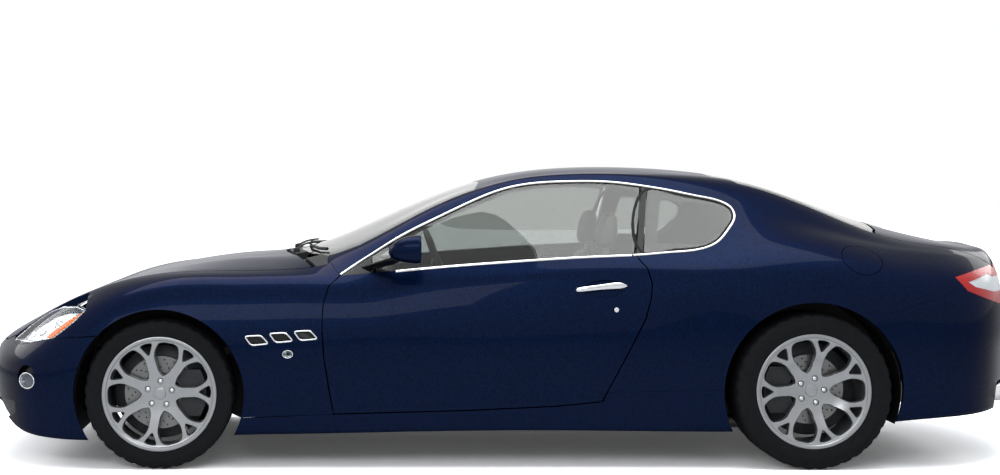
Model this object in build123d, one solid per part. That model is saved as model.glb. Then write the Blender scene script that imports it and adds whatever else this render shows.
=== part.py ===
from build123d import *
import math
import os

import numpy as np

# Two-door fixed-roof grand touring car, 2+2 seats, front-mid engine, rear-wheel drive.
# Millimetres. +X points to the tail, +Y to the car's right, +Z up; the origin is on the
# ground, half way along the car. Left-hand drive.

# ---------------------------------------------------------------- driving dimensions
wheelbase = 2942.0
front_overhang = 873.0
rear_overhang = 1066.0
body_width = 1915.0
roof_height = 1366.0

front_track = 1586.0
rear_track = 1590.0
front_tyre_radius = 337.0
rear_tyre_radius = 351.0
front_tyre_width = 245.0
rear_tyre_width = 285.0
rim_radius = 259.0
front_arch_gap = 46.0
rear_arch_gap = 50.0

panel_wall = 30.0        # depth of hood, wings, bumpers and boot lid with their inner frames
cabin_wall = 95.0        # depth of a whole door or body side around the cabin
roof_wall = 34.0         # roof skin with its frame and headlining
glass_thickness = 5.0
glass_inset = 2.0        # how far the glass lies under the painted surface
shut_gap = 6.0           # between a moving panel and its neighbour
seam_gap = 0.6           # between two panels that are fixed

nose_rounding = 700.0    # length over which the nose narrows in plan
tail_rounding = 600.0


# ---------------------------------------------------------------- places along the car
car_length = front_overhang + wheelbase + rear_overhang
nose_x = -car_length / 2
front_axle_x = nose_x + front_overhang
rear_axle_x = front_axle_x + wheelbase
tail_x = car_length / 2

# The body lines are drawn on these reference stations and stretched to the real ones.
DRAWN_X = (-2440.5, -1567.5, 1374.5, 2440.5)
DRAWN_WIDTH = 1915.0
DRAWN_HEIGHT = 1366.0


def at_x(x):
    return float(np.interp(x, DRAWN_X, (nose_x, front_axle_x, rear_axle_x, tail_x)))


def at_y(y):
    return y * body_width / DRAWN_WIDTH


def at_z(z):
    return z * roof_height / DRAWN_HEIGHT


def on_body(x, y, z):
    """A drawn place, carried to where it lies on the real body."""
    return at_x(x), at_y(y), at_z(z)


# ---------------------------------------------------------------- body lines
# Each row is a cross-section: the drawn x, then (half width, height) where eight lines that
# run the length of the car pass through it: centreline, glass edge, upper side, belt,
# shoulder, waist, flank and lower edge. The widths are before the nose and tail are rounded.
LINES = (
    (-2440.5, (0, 440), (310, 438), (500, 434), (640, 428), (790, 415), (915, 405), (920, 392), (880, 380)),
    (-2425.0, (0, 505), (310, 502), (500, 492), (640, 476), (780, 450), (913, 400), (920, 350), (880, 322)),
    (-2380.0, (0, 548), (310, 545), (490, 535), (620, 518), (765, 485), (913, 420), (920, 330), (880, 285)),
    (-2262.0, (0, 619), (340, 615), (510, 605), (645, 585), (775, 540), (920, 455), (925, 290), (885, 172)),
    (-2062.0, (0, 724), (385, 722), (560, 716), (705, 702), (815, 642), (928, 500), (930, 300), (890, 130)),
    (-1862.0, (0, 806), (415, 805), (600, 803), (742, 796), (855, 732), (936, 560), (936, 340), (892, 129)),
    (-1567.5, (0, 882), (445, 881), (620, 878), (762, 872), (862, 835), (945, 640), (940, 400), (894, 140)),
    (-1263.0, (0, 928), (455, 920), (622, 902), (762, 880), (852, 846), (932, 640), (926, 380), (890, 152)),
    (-1000.0, (0, 957), (490, 945), (650, 918), (770, 887), (845, 846), (918, 645), (912, 370), (885, 156)),
    (-850.0, (0, 992), (640, 940), (720, 912), (796, 876), (852, 832), (912, 642), (906, 365), (884, 158)),
    (-663.0, (0, 1066), (672, 1000), (745, 952), (822, 873), (862, 810), (908, 640), (900, 360),
        (884, 162)),
    (-363.0, (0, 1197), (622, 1157), (700, 1075), (826, 902), (868, 830), (905, 640), (899, 358),
        (884, 168)),
    (-63.0, (0, 1302), (560, 1275), (640, 1232), (826, 926), (870, 850), (905, 645), (899, 358),
        (884, 172)),
    (236.0, (0, 1357), (542, 1328), (606, 1283), (826, 947), (873, 868), (907, 655), (900, 358),
        (884, 172)),
    (636.0, (0, 1365), (540, 1330), (606, 1275), (822, 970), (878, 885), (912, 670), (905, 364),
        (886, 169)),
    (936.0, (0, 1345), (540, 1306), (630, 1222), (800, 1002), (885, 905), (925, 685), (918, 378),
        (888, 167)),
    (1236.0, (0, 1293), (535, 1249), (645, 1150), (790, 1032), (888, 930), (948, 692), (938, 398),
        (890, 170)),
    (1450.0, (0, 1221), (555, 1172), (660, 1095), (785, 1022), (888, 930), (957, 695), (945, 410),
        (892, 180)),
    (1700.0, (0, 1134), (600, 1052), (690, 1010), (770, 972), (880, 895), (948, 695), (936, 412),
        (888, 210)),
    (1850.0, (0, 1082), (608, 1022), (690, 992), (768, 955), (872, 880), (938, 693), (928, 418),
        (884, 220)),
    (2035.0, (0, 1031), (605, 998), (690, 972), (765, 938), (862, 872), (930, 690), (922, 425), (880, 230)),
    (2235.0, (0, 997), (600, 975), (690, 952), (765, 922), (855, 865), (924, 690), (916, 430), (876, 245)),
    (2325.0, (0, 989), (600, 965), (690, 942), (765, 912), (852, 858), (922, 690), (914, 430), (874, 255)),
    (2345.0, (0, 962), (600, 938), (690, 915), (765, 885), (850, 832), (920, 675), (912, 430), (874, 262)),
    (2385.0, (0, 702), (600, 694), (690, 686), (765, 676), (848, 658), (918, 600), (910, 430), (874, 290)),
    (2425.0, (0, 640), (600, 634), (690, 626), (765, 618), (845, 602), (914, 540), (906, 430), (872, 350)),
    (2440.5, (0, 548), (600, 544), (690, 538), (765, 530), (842, 518), (910, 480), (904, 440), (870, 420)),
)
LINE_X = np.array([row[0] for row in LINES])
LINE_YZ = np.array([row[1:] for row in LINES], float).reshape(len(LINES), -1)


def monotone_slopes(x, values):
    """Slopes of a curve through the values that never overshoots them."""
    step = np.diff(x)[:, None]
    rise = np.diff(values, axis=0) / step
    slopes = np.zeros_like(values)
    early, late = 2 * step[1:] + step[:-1], step[1:] + 2 * step[:-1]
    same_way = rise[:-1] * rise[1:] > 0
    safe = np.where(same_way, rise[:-1], 1), np.where(same_way, rise[1:], 1)
    slopes[1:-1] = np.where(same_way, (early + late) / (early / safe[0] + late / safe[1]), 0)
    slopes[0], slopes[-1] = rise[0], rise[-1]
    return slopes


LINE_SLOPES = monotone_slopes(LINE_X, LINE_YZ)


def drawn_lines(x):
    """The eight lines at a drawn station, as half widths and heights."""
    i = int(np.clip(np.searchsorted(LINE_X, x) - 1, 0, len(LINE_X) - 2))
    h = LINE_X[i + 1] - LINE_X[i]
    t = min(max((x - LINE_X[i]) / h, 0.0), 1.0)
    return (
        (2 * t**3 - 3 * t**2 + 1) * LINE_YZ[i]
        + (t**3 - 2 * t**2 + t) * h * LINE_SLOPES[i]
        + (3 * t**2 - 2 * t**3) * LINE_YZ[i + 1]
        + (t**3 - t**2) * h * LINE_SLOPES[i + 1]
    )


def faired_lines(x):
    """The lines smoothed along the car, as a batten would, less so near the nose and tail."""
    reach = min(max(0.12 * min(x - DRAWN_X[0], DRAWN_X[3] - x), 0.0), 45.0)
    weights = (1, 4, 6, 4, 1)
    total = sum(w * drawn_lines(x + k * reach) for w, k in zip(weights, (-2, -1, 0, 1, 2)))
    return (total / sum(weights)).reshape(-1, 2)


def plan_rounding(x):
    """Share of the full width at a drawn station, where the nose and tail are rounded."""
    if x < DRAWN_X[0] + nose_rounding:
        far = (DRAWN_X[0] + nose_rounding - x) / nose_rounding
        return max(0.0, 1 - far**2.5) ** (1 / 2.5)
    if x > DRAWN_X[3] - tail_rounding:
        far = (x - DRAWN_X[3] + tail_rounding) / tail_rounding
        return max(0.0, 1 - far**2.3) ** (1 / 2.3)
    return 1.0


def cabin_share(x):
    """1 beside the cabin, 0 ahead of the cowl and behind the rear seats."""
    rise = min(max((x + 1000.0) / 200.0, 0.0), 1.0)
    fall = min(max((1300.0 - x) / 250.0, 0.0), 1.0)
    return min(rise, fall)


def wall_depths(x):
    """How deep the wall is at each of the eight lines."""
    share = cabin_share(x)
    low = panel_wall + (cabin_wall - panel_wall) * share
    mid = panel_wall + (0.45 * (cabin_wall - panel_wall)) * share
    top = panel_wall + (roof_wall - panel_wall) * share
    return np.array([top, top, top, mid, low, low, low, low])


def section_points(x, depths):
    """Right half of the cross-section at a drawn station, moved inwards by the depths.

    Two points are added between the centreline and the glass edge, on an even crown.
    """
    lines = faired_lines(x)
    lines[:, 0] *= plan_rounding(x)
    along = np.gradient(lines, axis=0)
    along[0] = (1.0, 0.0)
    outward = np.stack([-along[:, 1], along[:, 0]], axis=1)
    outward /= np.maximum(np.linalg.norm(outward, axis=1, keepdims=True), 1e-6)
    moved = lines - outward * np.asarray(depths).reshape(-1, 1)
    moved[0, 0] = 0.0
    (_, middle), (half, edge) = moved[:2]
    crown = [(share * half, middle - share**2 * (middle - edge)) for share in (0.35, 0.7)]
    return np.vstack([moved[:1], crown, moved[1:]])


def shared_parameters():
    """One spacing for the points of every cross-section, so that the hulls stay light."""
    halves = [section_points(x, np.zeros(len(LINE_YZ[0]) // 2)) for x in LINE_X[2:-2]]
    steps = np.mean([np.linalg.norm(np.diff(half, axis=0), axis=1) for half in halves], axis=0)
    along = np.concatenate([[0.0], np.cumsum(np.concatenate([steps[::-1], steps]))])
    return list(along / along[-1])


SHARED = shared_parameters()


def section_wire(x, points):
    """A closed cross-section: one spline over the car and a straight bottom."""
    right = [Vector(x, at_y(y), at_z(z)) for y, z in points]
    left = [Vector(p.X, -p.Y, p.Z) for p in right[:0:-1]]
    over = Edge.make_spline(left + right, parameters=SHARED)
    return Wire([over, Edge.make_line(right[-1], left[0])])


def hull_stations(first, last):
    """Drawn stations for a hull, closer together where it rounds off."""
    ends = (0.0, 14.0, 45.0, 100.0, 190.0, 320.0)
    front = [first + e for e in ends]
    rear = [last - e for e in ends[::-1]]
    middle = list(np.linspace(front[-1], rear[0], 15)[1:-1])
    return front + middle + rear


def bottom_drop(x):
    """How far the inside's lower edge is carried down: open below, but closed under nose and tail."""
    open_share = min(np.clip((x + 2180.0) / 130.0, 0, 1), np.clip((2330.0 - x) / 130.0, 0, 1))
    return -panel_wall + (200.0 + panel_wall) * open_share


def hull(depth, end, extra=0.0):
    """The body as one solid, moved inwards by a depth, or by the wall depths if it is None.

    end is how far it stops short of the nose and tail.
    """
    wires = []
    for x in hull_stations(DRAWN_X[0] + end, DRAWN_X[3] - end):
        depths = wall_depths(x) + extra if depth is None else np.full(8, depth)
        points = section_points(x, depths)
        if depth is None:
            points[-1, 1] -= bottom_drop(x)
        wires.append(section_wire(at_x(x), points))
    return Solid.make_loft(wires)


def surface_point(x, z):
    """Where the painted surface is at a real x and height, on the right."""
    drawn = float(np.interp(x, (nose_x, front_axle_x, rear_axle_x, tail_x), DRAWN_X))
    over = section_wire(x, section_points(drawn, np.zeros(8))).edges().sort_by(SortBy.LENGTH)[-1]
    return min((over.position_at(0.5 + 0.5 * k / 400) for k in range(401)), key=lambda p: abs(p.Z - z))


outer_hull = hull(0.0, 4.0)
shell = outer_hull - hull(None, 45.0)
glass_shell = hull(glass_inset, 6.0) - hull(glass_inset + glass_thickness, 12.0)


# ---------------------------------------------------------------- outline tools
FAR = 3000.0


def side_block(points, near=-1.0, far=FAR):
    """A block whose outline is drawn in side view, from near to far on the right side."""
    face = Plane.XZ * make_face(Polyline(*[(at_x(x), at_z(z)) for x, z in points], close=True))
    block = extrude(face, far - near, dir=(0, 1, 0))
    return Pos(0, near, 0) * block


def plan_block(points, low=-FAR, high=FAR):
    """A block on the right side whose outline is drawn in plan, from low to high."""
    real = [(at_x(x), at_y(y) if y > 0 else -1.0) for x, y in points]
    return Pos(0, 0, low) * extrude(make_face(Polyline(*real, close=True)), high - low)


def nose_block(points):
    """A block on the right side whose outline is drawn from the front, as distance from the middle and height."""
    face = Plane.YZ * make_face(Polyline(*[(at_y(y) if y > 0 else -1.0, at_z(z)) for y, z in points],
        close=True))
    return Pos(-FAR, 0, 0) * extrude(face, FAR - 2200.0, dir=(1, 0, 0))


def grown(points, gap):
    """An outline moved outwards by a gap."""
    area = make_face(Polyline(*points, close=True))
    wire = offset(area, gap, kind=Kind.INTERSECTION).faces()[0].outer_wire()
    return [(edge.position_at(0).X, edge.position_at(0).Y) for edge in wire.order_edges()]


def box(x0, x1, y0, y1, z0, z1):
    return Pos((x0 + x1) / 2, (y0 + y1) / 2, (z0 + z1) / 2) * Box(x1 - x0, y1 - y0, z1 - z0)


def rod(a, b, radius):
    a, b = Vector(*a), Vector(*b)
    return Plane(origin=a, z_dir=b - a) * Cylinder(
        radius, (b - a).length, align=(Align.CENTER, Align.CENTER, Align.MIN)
    )


def across(x, z, radius, near, far):
    """A cylinder along Y."""
    return rod((x, near, z), (x, far, z), radius)


def left_of(solid):
    return mirror(solid, Plane.XZ)


# ---------------------------------------------------------------- outlines on the body
# Drawn x and z, seen from the side.
BELT = [(-750, 866), (-500, 889), (-299, 908), (50, 934), (311, 951), (580, 963)]
DOOR_FRONT = [(-786, 284), (-801, 367), (-823, 502), (-830, 613), (-830, 689), (-825, 747), (-802, 820)]
DOOR_REAR = [(439, 333), (558, 559), (618, 678), (645, 773), (650, 832), (632, 901)]
DOOR_BOTTOM = [(422, 306), (215, 285), (-212, 265), (-780, 250)]
DOOR = BELT + DOOR_REAR[::-1] + DOOR_BOTTOM + DOOR_FRONT
WINDOW_TOP = [(-492, 1027), (-330, 1109), (-201, 1170), (21, 1258), (156, 1280), (291, 1287), (514, 1284),
    (638, 1270)]
SAIL = [(-750, 866.4), (-612, 879.0), (-612, 952)]
DOOR_GLASS = [(-606, 879.6)] + BELT[1:] + WINDOW_TOP[::-1] + [(-606, 955)]
PILLAR = [(592, 965), (648, 1267), (672, 1261), (622, 970)]
QUARTER_GLASS = [
    (626, 970), (676, 1260), (779, 1246), (909, 1219), (1020, 1191), (1053, 1166),
    (1059, 1139), (1026, 1087), (966, 1027), (881, 994), (746, 980),
]
GLAZED = BELT + [(746, 980), (881, 994), (966, 1027), (1026, 1087), (1059, 1139), (1053, 1166),
                 (1020, 1191), (909, 1219), (779, 1246)] + WINDOW_TOP[::-1]
LAMP_LOW = [(-2291, 548), (-2170, 556), (-2055, 582)]
HEADLAMP = LAMP_LOW + [(-1960, 655), (-1907, 709), (-1955, 722), (-2031, 716), (-2100, 690), (-2190, 634)]
TAIL_LAMP = [(2034, 861), (2160, 889), (2279, 908), (2420, 915), (2420, 722), (2295, 730), (2190, 762),
    (2087, 799)]
SILL_TOP = [(-780, 246), (-212, 261), (215, 281), (422, 302), (445, 345), (1100, 359)]
BUMPER_SEAM = [(1560, 662), (1990, 786), (2087, 799)]
# Drawn x and half width, seen from above.
HOOD_REAR = [(-885, 738), (-935, 600), (-985, 400), (-1020, 200), (-1032, 0)]
HOOD = [
    (-2390, 0), (-2385, 150), (-2372, 280), (-2345, 380), (-2290, 470), (-2180, 545), (-2040, 625),
    (-1930, 690), (-1800, 722), (-1567, 738), (-1000, 742),
] + HOOD_REAR
cowl_gap = 20.0          # the hood swings back a little over the cowl as it opens
SCREEN_LOW = [(-955, 0), (-940, 250), (-895, 480), (-812, 655)]
SCREEN_TOP = [(-128, 572), (-112, 450), (-88, 250), (-80, 0)]
SCREEN = SCREEN_LOW + [(-663, 668), (-363, 618)] + SCREEN_TOP
COWL = [(x + cowl_gap, min(y, 736.5)) for x, y in HOOD_REAR[::-1]] + [(-812, 735), (-812, 655), (-895, 480),
    (-940, 250), (-955, 0)]
REAR_WINDOW_TOP = [(1010, 0), (1022, 250), (1062, 430), (1112, 524)]
REAR_WINDOW_LOW = [(1725, 595), (1762, 480), (1792, 250), (1802, 0)]
REAR_WINDOW = REAR_WINDOW_TOP + [(1236, 531), (1450, 551)] + REAR_WINDOW_LOW
ROOF = SCREEN_TOP[::-1] + [(-63, 560), (236, 542), (636, 540), (936, 540)] + REAR_WINDOW_TOP[::-1]
BOOT = [(1815, 0), (1805, 250), (1775, 480), (1739, 598), (1850, 606), (2240, 604), (2290, 580),
    (2310, 500), (2500, 490), (2500, 0)]
GRILLE = [(-50, 256), (230, 256), (296, 270), (334, 306), (346, 352), (334, 398), (296, 434), (230, 448),
    (-50, 448)]


def main_solid(found):
    """The largest solid, without slivers where outlines graze each other."""
    return max(found.solids(), key=lambda solid: solid.volume)


half_shell = shell & box(-FAR, FAR, 0, FAR, -FAR, FAR)
half_glass = glass_shell & box(-FAR, FAR, 0, FAR, 300, FAR)

front_wheel_z = front_tyre_radius
rear_wheel_z = rear_tyre_radius
front_arch = across(front_axle_x, front_wheel_z, front_tyre_radius + front_arch_gap, -FAR, FAR)
rear_arch = across(rear_axle_x, rear_wheel_z, rear_tyre_radius + rear_arch_gap, -FAR, FAR)

above_hood = side_block([(-2600, 485), (-2300, 500), (-2100, 600), (-1800, 700), (-700, 750), (-700, 1400),
    (-2600, 1400)])
above_boot = side_block([(1600, 800), (2200, 690), (2387, 672), (2600, 668), (2600, 1400), (1600, 1400)])
hood_tool = plan_block(HOOD) & above_hood
hood_room = plan_block(grown(HOOD, shut_gap)) & Pos(0, 0, -shut_gap) * above_hood
boot_tool = plan_block(BOOT) & above_boot
boot_room = plan_block(grown(BOOT, shut_gap)) & Pos(0, 0, -shut_gap) * above_boot
screen_room = plan_block(grown(SCREEN, seam_gap))
rear_window_room = plan_block(grown(REAR_WINDOW, seam_gap))
roof_room = plan_block(grown(ROOF, seam_gap))
deck_seam = plan_block([(x - 4, y) for x, y in REAR_WINDOW_LOW] + [(x + shut_gap + 4, y) for x,
    y in REAR_WINDOW_LOW[::-1]])
cowl_room = plan_block(grown(HOOD_REAR[::-1] + COWL[len(HOOD_REAR):], seam_gap)) & above_hood
lamp_room = side_block(grown(HEADLAMP, seam_gap))
tail_lamp_room = side_block(grown(TAIL_LAMP, seam_gap), near=480 - seam_gap)
door_room = side_block(grown(DOOR, shut_gap))
glass_room = side_block(grown(DOOR_GLASS, shut_gap + 3.0))

# ---------------------------------------------------------------- panels
front_bumper = half_shell & (
    side_block([(-2600, -200), (-2600, 760), (-2310, 760)] + LAMP_LOW + [(-1780, 603), (-1780, -200)])
    - hood_room - front_arch
)
front_bumper -= nose_block(GRILLE)
fender = half_shell & (
    side_block(
        [(x, z + 1.0) for x, z in LAMP_LOW[2:]] + [(-1830, 605), (-1567, 420), (-1205, 232), (-784, 247)]
        + [(x - shut_gap, z) for x, z in DOOR_FRONT] + [(-756, 868), (-812, 938), (-830, 1100),
            (-1907, 1100), (-1907, 709), (-1960, 655)]
    ) - hood_room - cowl_room - screen_room - lamp_room - front_arch
)
hood = half_shell & hood_tool
headlamp = half_shell & (side_block(HEADLAMP) - hood_room)
sill = half_shell & (
    side_block([(-1290, -200), (-1290, 190), (-1205, 228)] + SILL_TOP + [(1100, -200)])
    - front_arch - rear_arch - door_room
)
body_side = half_shell & (
    side_block(
        [(-750, 867), (-811, 939), (-830, 1500), (2700, 1500), (2700, 700), (2087, 799), (1990, 787),
            (1560, 663),
         (1374, 500), (1100, 360), (446, 346), (440, 300), (-700, 700)]
    )
    - door_room - side_block(GLAZED) - glass_room - screen_room - roof_room - rear_window_room
    - deck_seam - boot_room - tail_lamp_room - rear_arch
)
rear_bumper = half_shell & (
    side_block([(1560, -200)] + BUMPER_SEAM + [(2600, 700), (2600, -200)])
    - boot_room - tail_lamp_room - rear_arch
)
tail_lamp = half_shell & (side_block(TAIL_LAMP, near=480) - boot_room)
boot_lid = half_shell & boot_tool
roof = half_shell & plan_block(ROOF, 900)
door = half_shell & side_block(DOOR)
door_glass = half_glass & side_block(DOOR_GLASS)
pillar_trim = half_shell & side_block(PILLAR)
quarter_glass = half_glass & side_block(QUARTER_GLASS)
windscreen = half_glass & plan_block(SCREEN, 700)
rear_window = half_glass & plan_block(REAR_WINDOW, 700)
cowl = half_shell & (plan_block(COWL) & above_hood)

# ---------------------------------------------------------------- hinges
hinge_clearance = 0.3
door_axis = (at_x(-770.0), at_y(897.0))  # x and y of the upright pins, just under the skin
door_pin_low, door_pin_high = at_z(430.0), at_z(640.0)
hood_axis = (at_x(-895.0), at_z(880.0))  # x and z of the pins at the hood's rear corners
boot_axis = (at_x(1690.0), at_z(1045.0))  # x and z of the pins beside the rear window
pin_radius = {"door": 5.0, "hood": 6.0, "boot": 6.0, "flap": 3.0}


def door_hinge_half():
    """Two brackets on the front wing, which reach behind the door's face to one long pin."""
    x, y = door_axis
    part = rod((x, y, door_pin_low), (x, y, door_pin_high), pin_radius["door"])
    notch = rod((x, y, door_pin_low - 2), (x, y, door_pin_high + 2), pin_radius["door"] + hinge_clearance)
    for z in (door_pin_low + 40, door_pin_high - 40):
        part += rod((x, y, z - 5), (x, y, z + 5), 8.0)
        part += box(x - 8, x + 8, y - 97, y, z - 5, z + 5)
        part += box(x - 130, x + 8, y - 97, y - 81, z - 5, z + 5)
        part += box(x - 130, x - 85, y - 97, y - 40, z - 5, z + 5)
        notch += box(x - 130, x + 13, y - 200, y + 11, z - 10, z + 10)
    return part, notch


door_hinge, door_notch = door_hinge_half()
door -= door_notch
hood_x, hood_z = hood_axis
hood_edge = at_y(738.0)  # half width of the hood at its hinges
hood = main_solid(hood) + across(hood_x, hood_z, 11.0, hood_edge - 48, hood_edge)
hood -= across(hood_x, hood_z, pin_radius["hood"] + hinge_clearance, hood_edge - 88, hood_edge + 22)
hood -= box(hood_x - 35, hood_x + 30, hood_edge - 2, hood_edge + 22, hood_z - 80, hood_z + 80)
hood_pin = across(hood_x, hood_z, pin_radius["hood"], hood_edge - 52, hood_edge + 28)
cowl -= box(hood_x - 40, hood_x + 36, hood_edge - 178, hood_edge + 42, hood_z - 12, FAR)
trough_low = at_z(924.0)  # the cowl is sunk beside the windscreen, where the opened hood's edge swings back
cowl -= box(at_x(-1000), at_x(-850), at_y(395), at_y(600), trough_low, FAR)
boot_x, boot_z = boot_axis
neck = [(-10, 0), (-10, -62), (85, -62), (85, -12), (64, -12), (64, -42), (10, -42), (10, 0)]
arm_y, arm_width = at_y(556.0), 12.0
boot_arm = Pos(0, arm_y, 0) * extrude(Plane.XZ * make_face(Polyline(
    *[(boot_x + a, boot_z + b) for a, b in neck], close=True)), arm_width, dir=(0, 1, 0))
boot_arm += across(boot_x, boot_z, 13.0, arm_y, arm_y + arm_width)
boot_lid = main_solid(boot_lid) + boot_arm
boot_lid -= across(boot_x, boot_z, pin_radius["boot"] + hinge_clearance, arm_y - 16, arm_y + arm_width + 12)
boot_pin = across(boot_x, boot_z, pin_radius["boot"], arm_y - 5, arm_y + 48)


# ---------------------------------------------------------------- wheels
WHEEL_SPOKES = 7
WHEEL_BOLTS = 5
bolt_circle = 57.0
bead_radius = rim_radius - 16.0
hub_radius = 76.0
spindle_radius = 24.0
flange_width = 11.0
pin_clearance = 0.3
spoke_depth = 40.0
brake_radius = {"front": 165.0, "rear": 158.0}
brake_thickness = 30.0
brake_offset = 8.0       # middle of the disc, outboard of the wheel's middle
running_gap = 5.0
caliper_radius = 208.0


def polar(radius, degrees):
    return radius * math.cos(math.radians(degrees)), radius * math.sin(math.radians(degrees))


def turned(profile, at):
    """A ring about a wheel's axle from a closed profile of (distance outboard, radius)."""
    x, y, z = at
    outline = Polyline(*[(x, y + out, z + radius) for out, radius in profile], close=True)
    return revolve(make_face(outline), Axis(at, (0, 1, 0)))


def tyre_solid(at, radius, width, rim_half):
    """A solid ring of rubber between the rim's flanges, crowned a little under its tread."""
    half, seat, bead = width / 2, bead_radius + 0.5, rim_half - flange_width - pin_clearance
    side = [(bead, seat), (bead, rim_radius + 3), (half - 2, seat + 40), (half, seat + 54),
        (half - 5, radius - 24),
            (half - 16, radius - 8), (half - 34, radius - 1.5)]
    return turned([(-o, r) for o, r in side] + [(0, radius)] + side[::-1], at)


def window_cutter(at, points, depth):
    x, y, z = at
    return extrude(make_face(Polyline(*[(x + a, y, z + b) for a, b in points], close=True)), depth,
        dir=(0, 1, 0))


def rim_solid(at, half, dish, spoke_start, bolt_start):
    """A turned barrel, and a dished face cut into seven spokes that fork towards the rim."""
    x, y, z = at
    inner = bead_radius - 12.0
    barrel = turned(
        [(-half, bead_radius - 5), (-half, rim_radius - 2), (-half + 7, rim_radius - 2),
            (-half + flange_width, bead_radius),
         (half - flange_width, bead_radius), (half - 7, rim_radius), (half, rim_radius),
             (half, bead_radius - 2), (half - 8, inner + 2),
         (half - 30, inner), (-half + 16, inner)], at,
    )
    face_out, face_in = half - dish, half - dish - spoke_depth
    face = turned(
        [(face_out, spindle_radius + pin_clearance), (face_out + 5, hub_radius), (half - 16, 165),
            (half - 9, inner + 6),
         (half - 32, inner + 6), (half - 44, 165), (face_in + 8, hub_radius),
             (face_in, spindle_radius + pin_clearance)], at,
    )
    step = 360.0 / WHEEL_SPOKES
    cutters = []
    for k in range(WHEEL_SPOKES):
        spoke_middle = spoke_start + step * k
        gap_middle = spoke_middle + step / 2
        side = [(92, 7), (106, 12.5), (165, 17.5), (203, 14.5), (226, 11), (232, 7)]
        cutters.append(window_cutter(at, [polar(r, gap_middle - turn) for r, turn in side]
                                     + [polar(r, gap_middle + turn) for r,
                                         turn in side[::-1]] + [polar(83, gap_middle)], 2 * half))
        cutters.append(window_cutter(at, [polar(176, spoke_middle), polar(229, spoke_middle - 7),
            polar(232, spoke_middle),
                                          polar(229, spoke_middle + 7)], 2 * half))
    for k in range(WHEEL_BOLTS):
        a, b = polar(bolt_circle, bolt_start + 360 / WHEEL_BOLTS * k)
        cutters.append(across(x + a, z + b, 13.0, y + face_out - 12, y + 2 * half))
    return barrel + (face - cutters)


def brake_disc_solid(at, radius, seat):
    """A disc and its hat, which seats against the back of the rim."""
    low, high = brake_offset - brake_thickness / 2, brake_offset + brake_thickness / 2
    bore = spindle_radius + pin_clearance
    return turned(
        [(low, radius - 62), (low, radius), (high, radius), (high, 88), (seat, 82), (seat, bore),
            (seat - 8, bore),
         (seat - 8, 74), (low, 80)], at,
    )


def caliper_solid(at, radius, side):
    """A caliper that straddles the disc, with its bracket; side is +1 behind the axle, -1 ahead."""
    x, y, z = at
    low, high = brake_offset - brake_thickness / 2, brake_offset + brake_thickness / 2
    block = turned([(low - 24, 96), (low - 24, caliper_radius), (high + 22, caliper_radius),
        (high + 22, 96)], at)
    block &= box(min(x + side * 70, x + side * 300), max(x + side * 70, x + side * 300), y - 200, y + 200,
        z - 105, z + 105)
    return block - turned([(low - running_gap, 1), (low - running_gap, radius + running_gap),
                           (high + running_gap, radius + running_gap), (high + running_gap, 1)], at)


def upright_solid(at, radius, side, kingpin_offset, seat, ball_low, ball_high):
    """The carrier of a wheel: a post on the steering axis, a hub carrier, the spindle and the caliper."""
    x, y, z = at
    pin_y = y - kingpin_offset
    low = brake_offset - brake_thickness / 2 - running_gap
    part = rod((x, pin_y, z + ball_low + 14), (x, pin_y, z + ball_high - 14), 20.0)
    part += rod((x, pin_y - 26, z), (x, y + low - 5, z), 52.0)
    part += rod((x, pin_y, z), (x, y + seat + 34, z), spindle_radius)
    part += rod((x, pin_y, z + ball_low - 20), (x, pin_y, z + ball_high + 20), 9.0)
    near, far = sorted((x + side * 30, x + side * 175))
    part += box(near, far, y + low - 19, y + low - 1, z - 34, z + 34)
    return part + caliper_solid(at, radius, side)


WHEELS = {
    "front": dict(x=front_axle_x, z=front_wheel_z, y=front_track / 2, radius=front_tyre_radius,
        width=front_tyre_width, dish=34.0,
                  spokes=105.4, bolts=87.0),
    "rear": dict(x=rear_axle_x, z=rear_wheel_z, y=rear_track / 2, radius=rear_tyre_radius,
        width=rear_tyre_width, dish=52.0,
                 spokes=78.1, bolts=74.6),
}
rim_half = {"front": 107.0, "rear": 127.0}
kingpin_offset = 53.0
ball_low, ball_high = -128.0, 132.0
wheel_parts = {}
for end, w in WHEELS.items():
    at = (w["x"], w["y"], w["z"])
    half = rim_half[end]
    seat = half - w["dish"] - spoke_depth - pin_clearance
    wheel_parts["tyre", end] = tyre_solid(at, w["radius"], w["width"], half)
    wheel_parts["rim", end] = rim_solid(at, half, w["dish"], w["spokes"], w["bolts"])
    wheel_parts["brake_disc", end] = brake_disc_solid(at, brake_radius[end], seat)
    wheel_parts["knuckle", end] = upright_solid(
        at, brake_radius[end], 1 if end == "front" else -1, kingpin_offset, seat, ball_low, ball_high)


# ---------------------------------------------------------------- what is under the panels
cavity = hull(None, 45.0 + pin_clearance, extra=pin_clearance)
floor_low, floor_thickness = at_z(172.0), 18.0
floor_high = floor_low + floor_thickness
firewall_x, firewall_high = at_x(-1130.0), at_z(815.0)
bulkhead_x = at_x(1010.0)
shelf_high, shelf_thickness = at_z(880.0), 15.0
shelf_low = shelf_high - shelf_thickness
floor_reach = at_y(860.0)                # the cavity trims it to the sills
rail_inner, rail_outer = 400.0, 470.0
front_rail_low = front_wheel_z + ball_low + 21
rear_rail_low, rear_cross_x = 385.0, at_x(2250.0)

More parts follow.
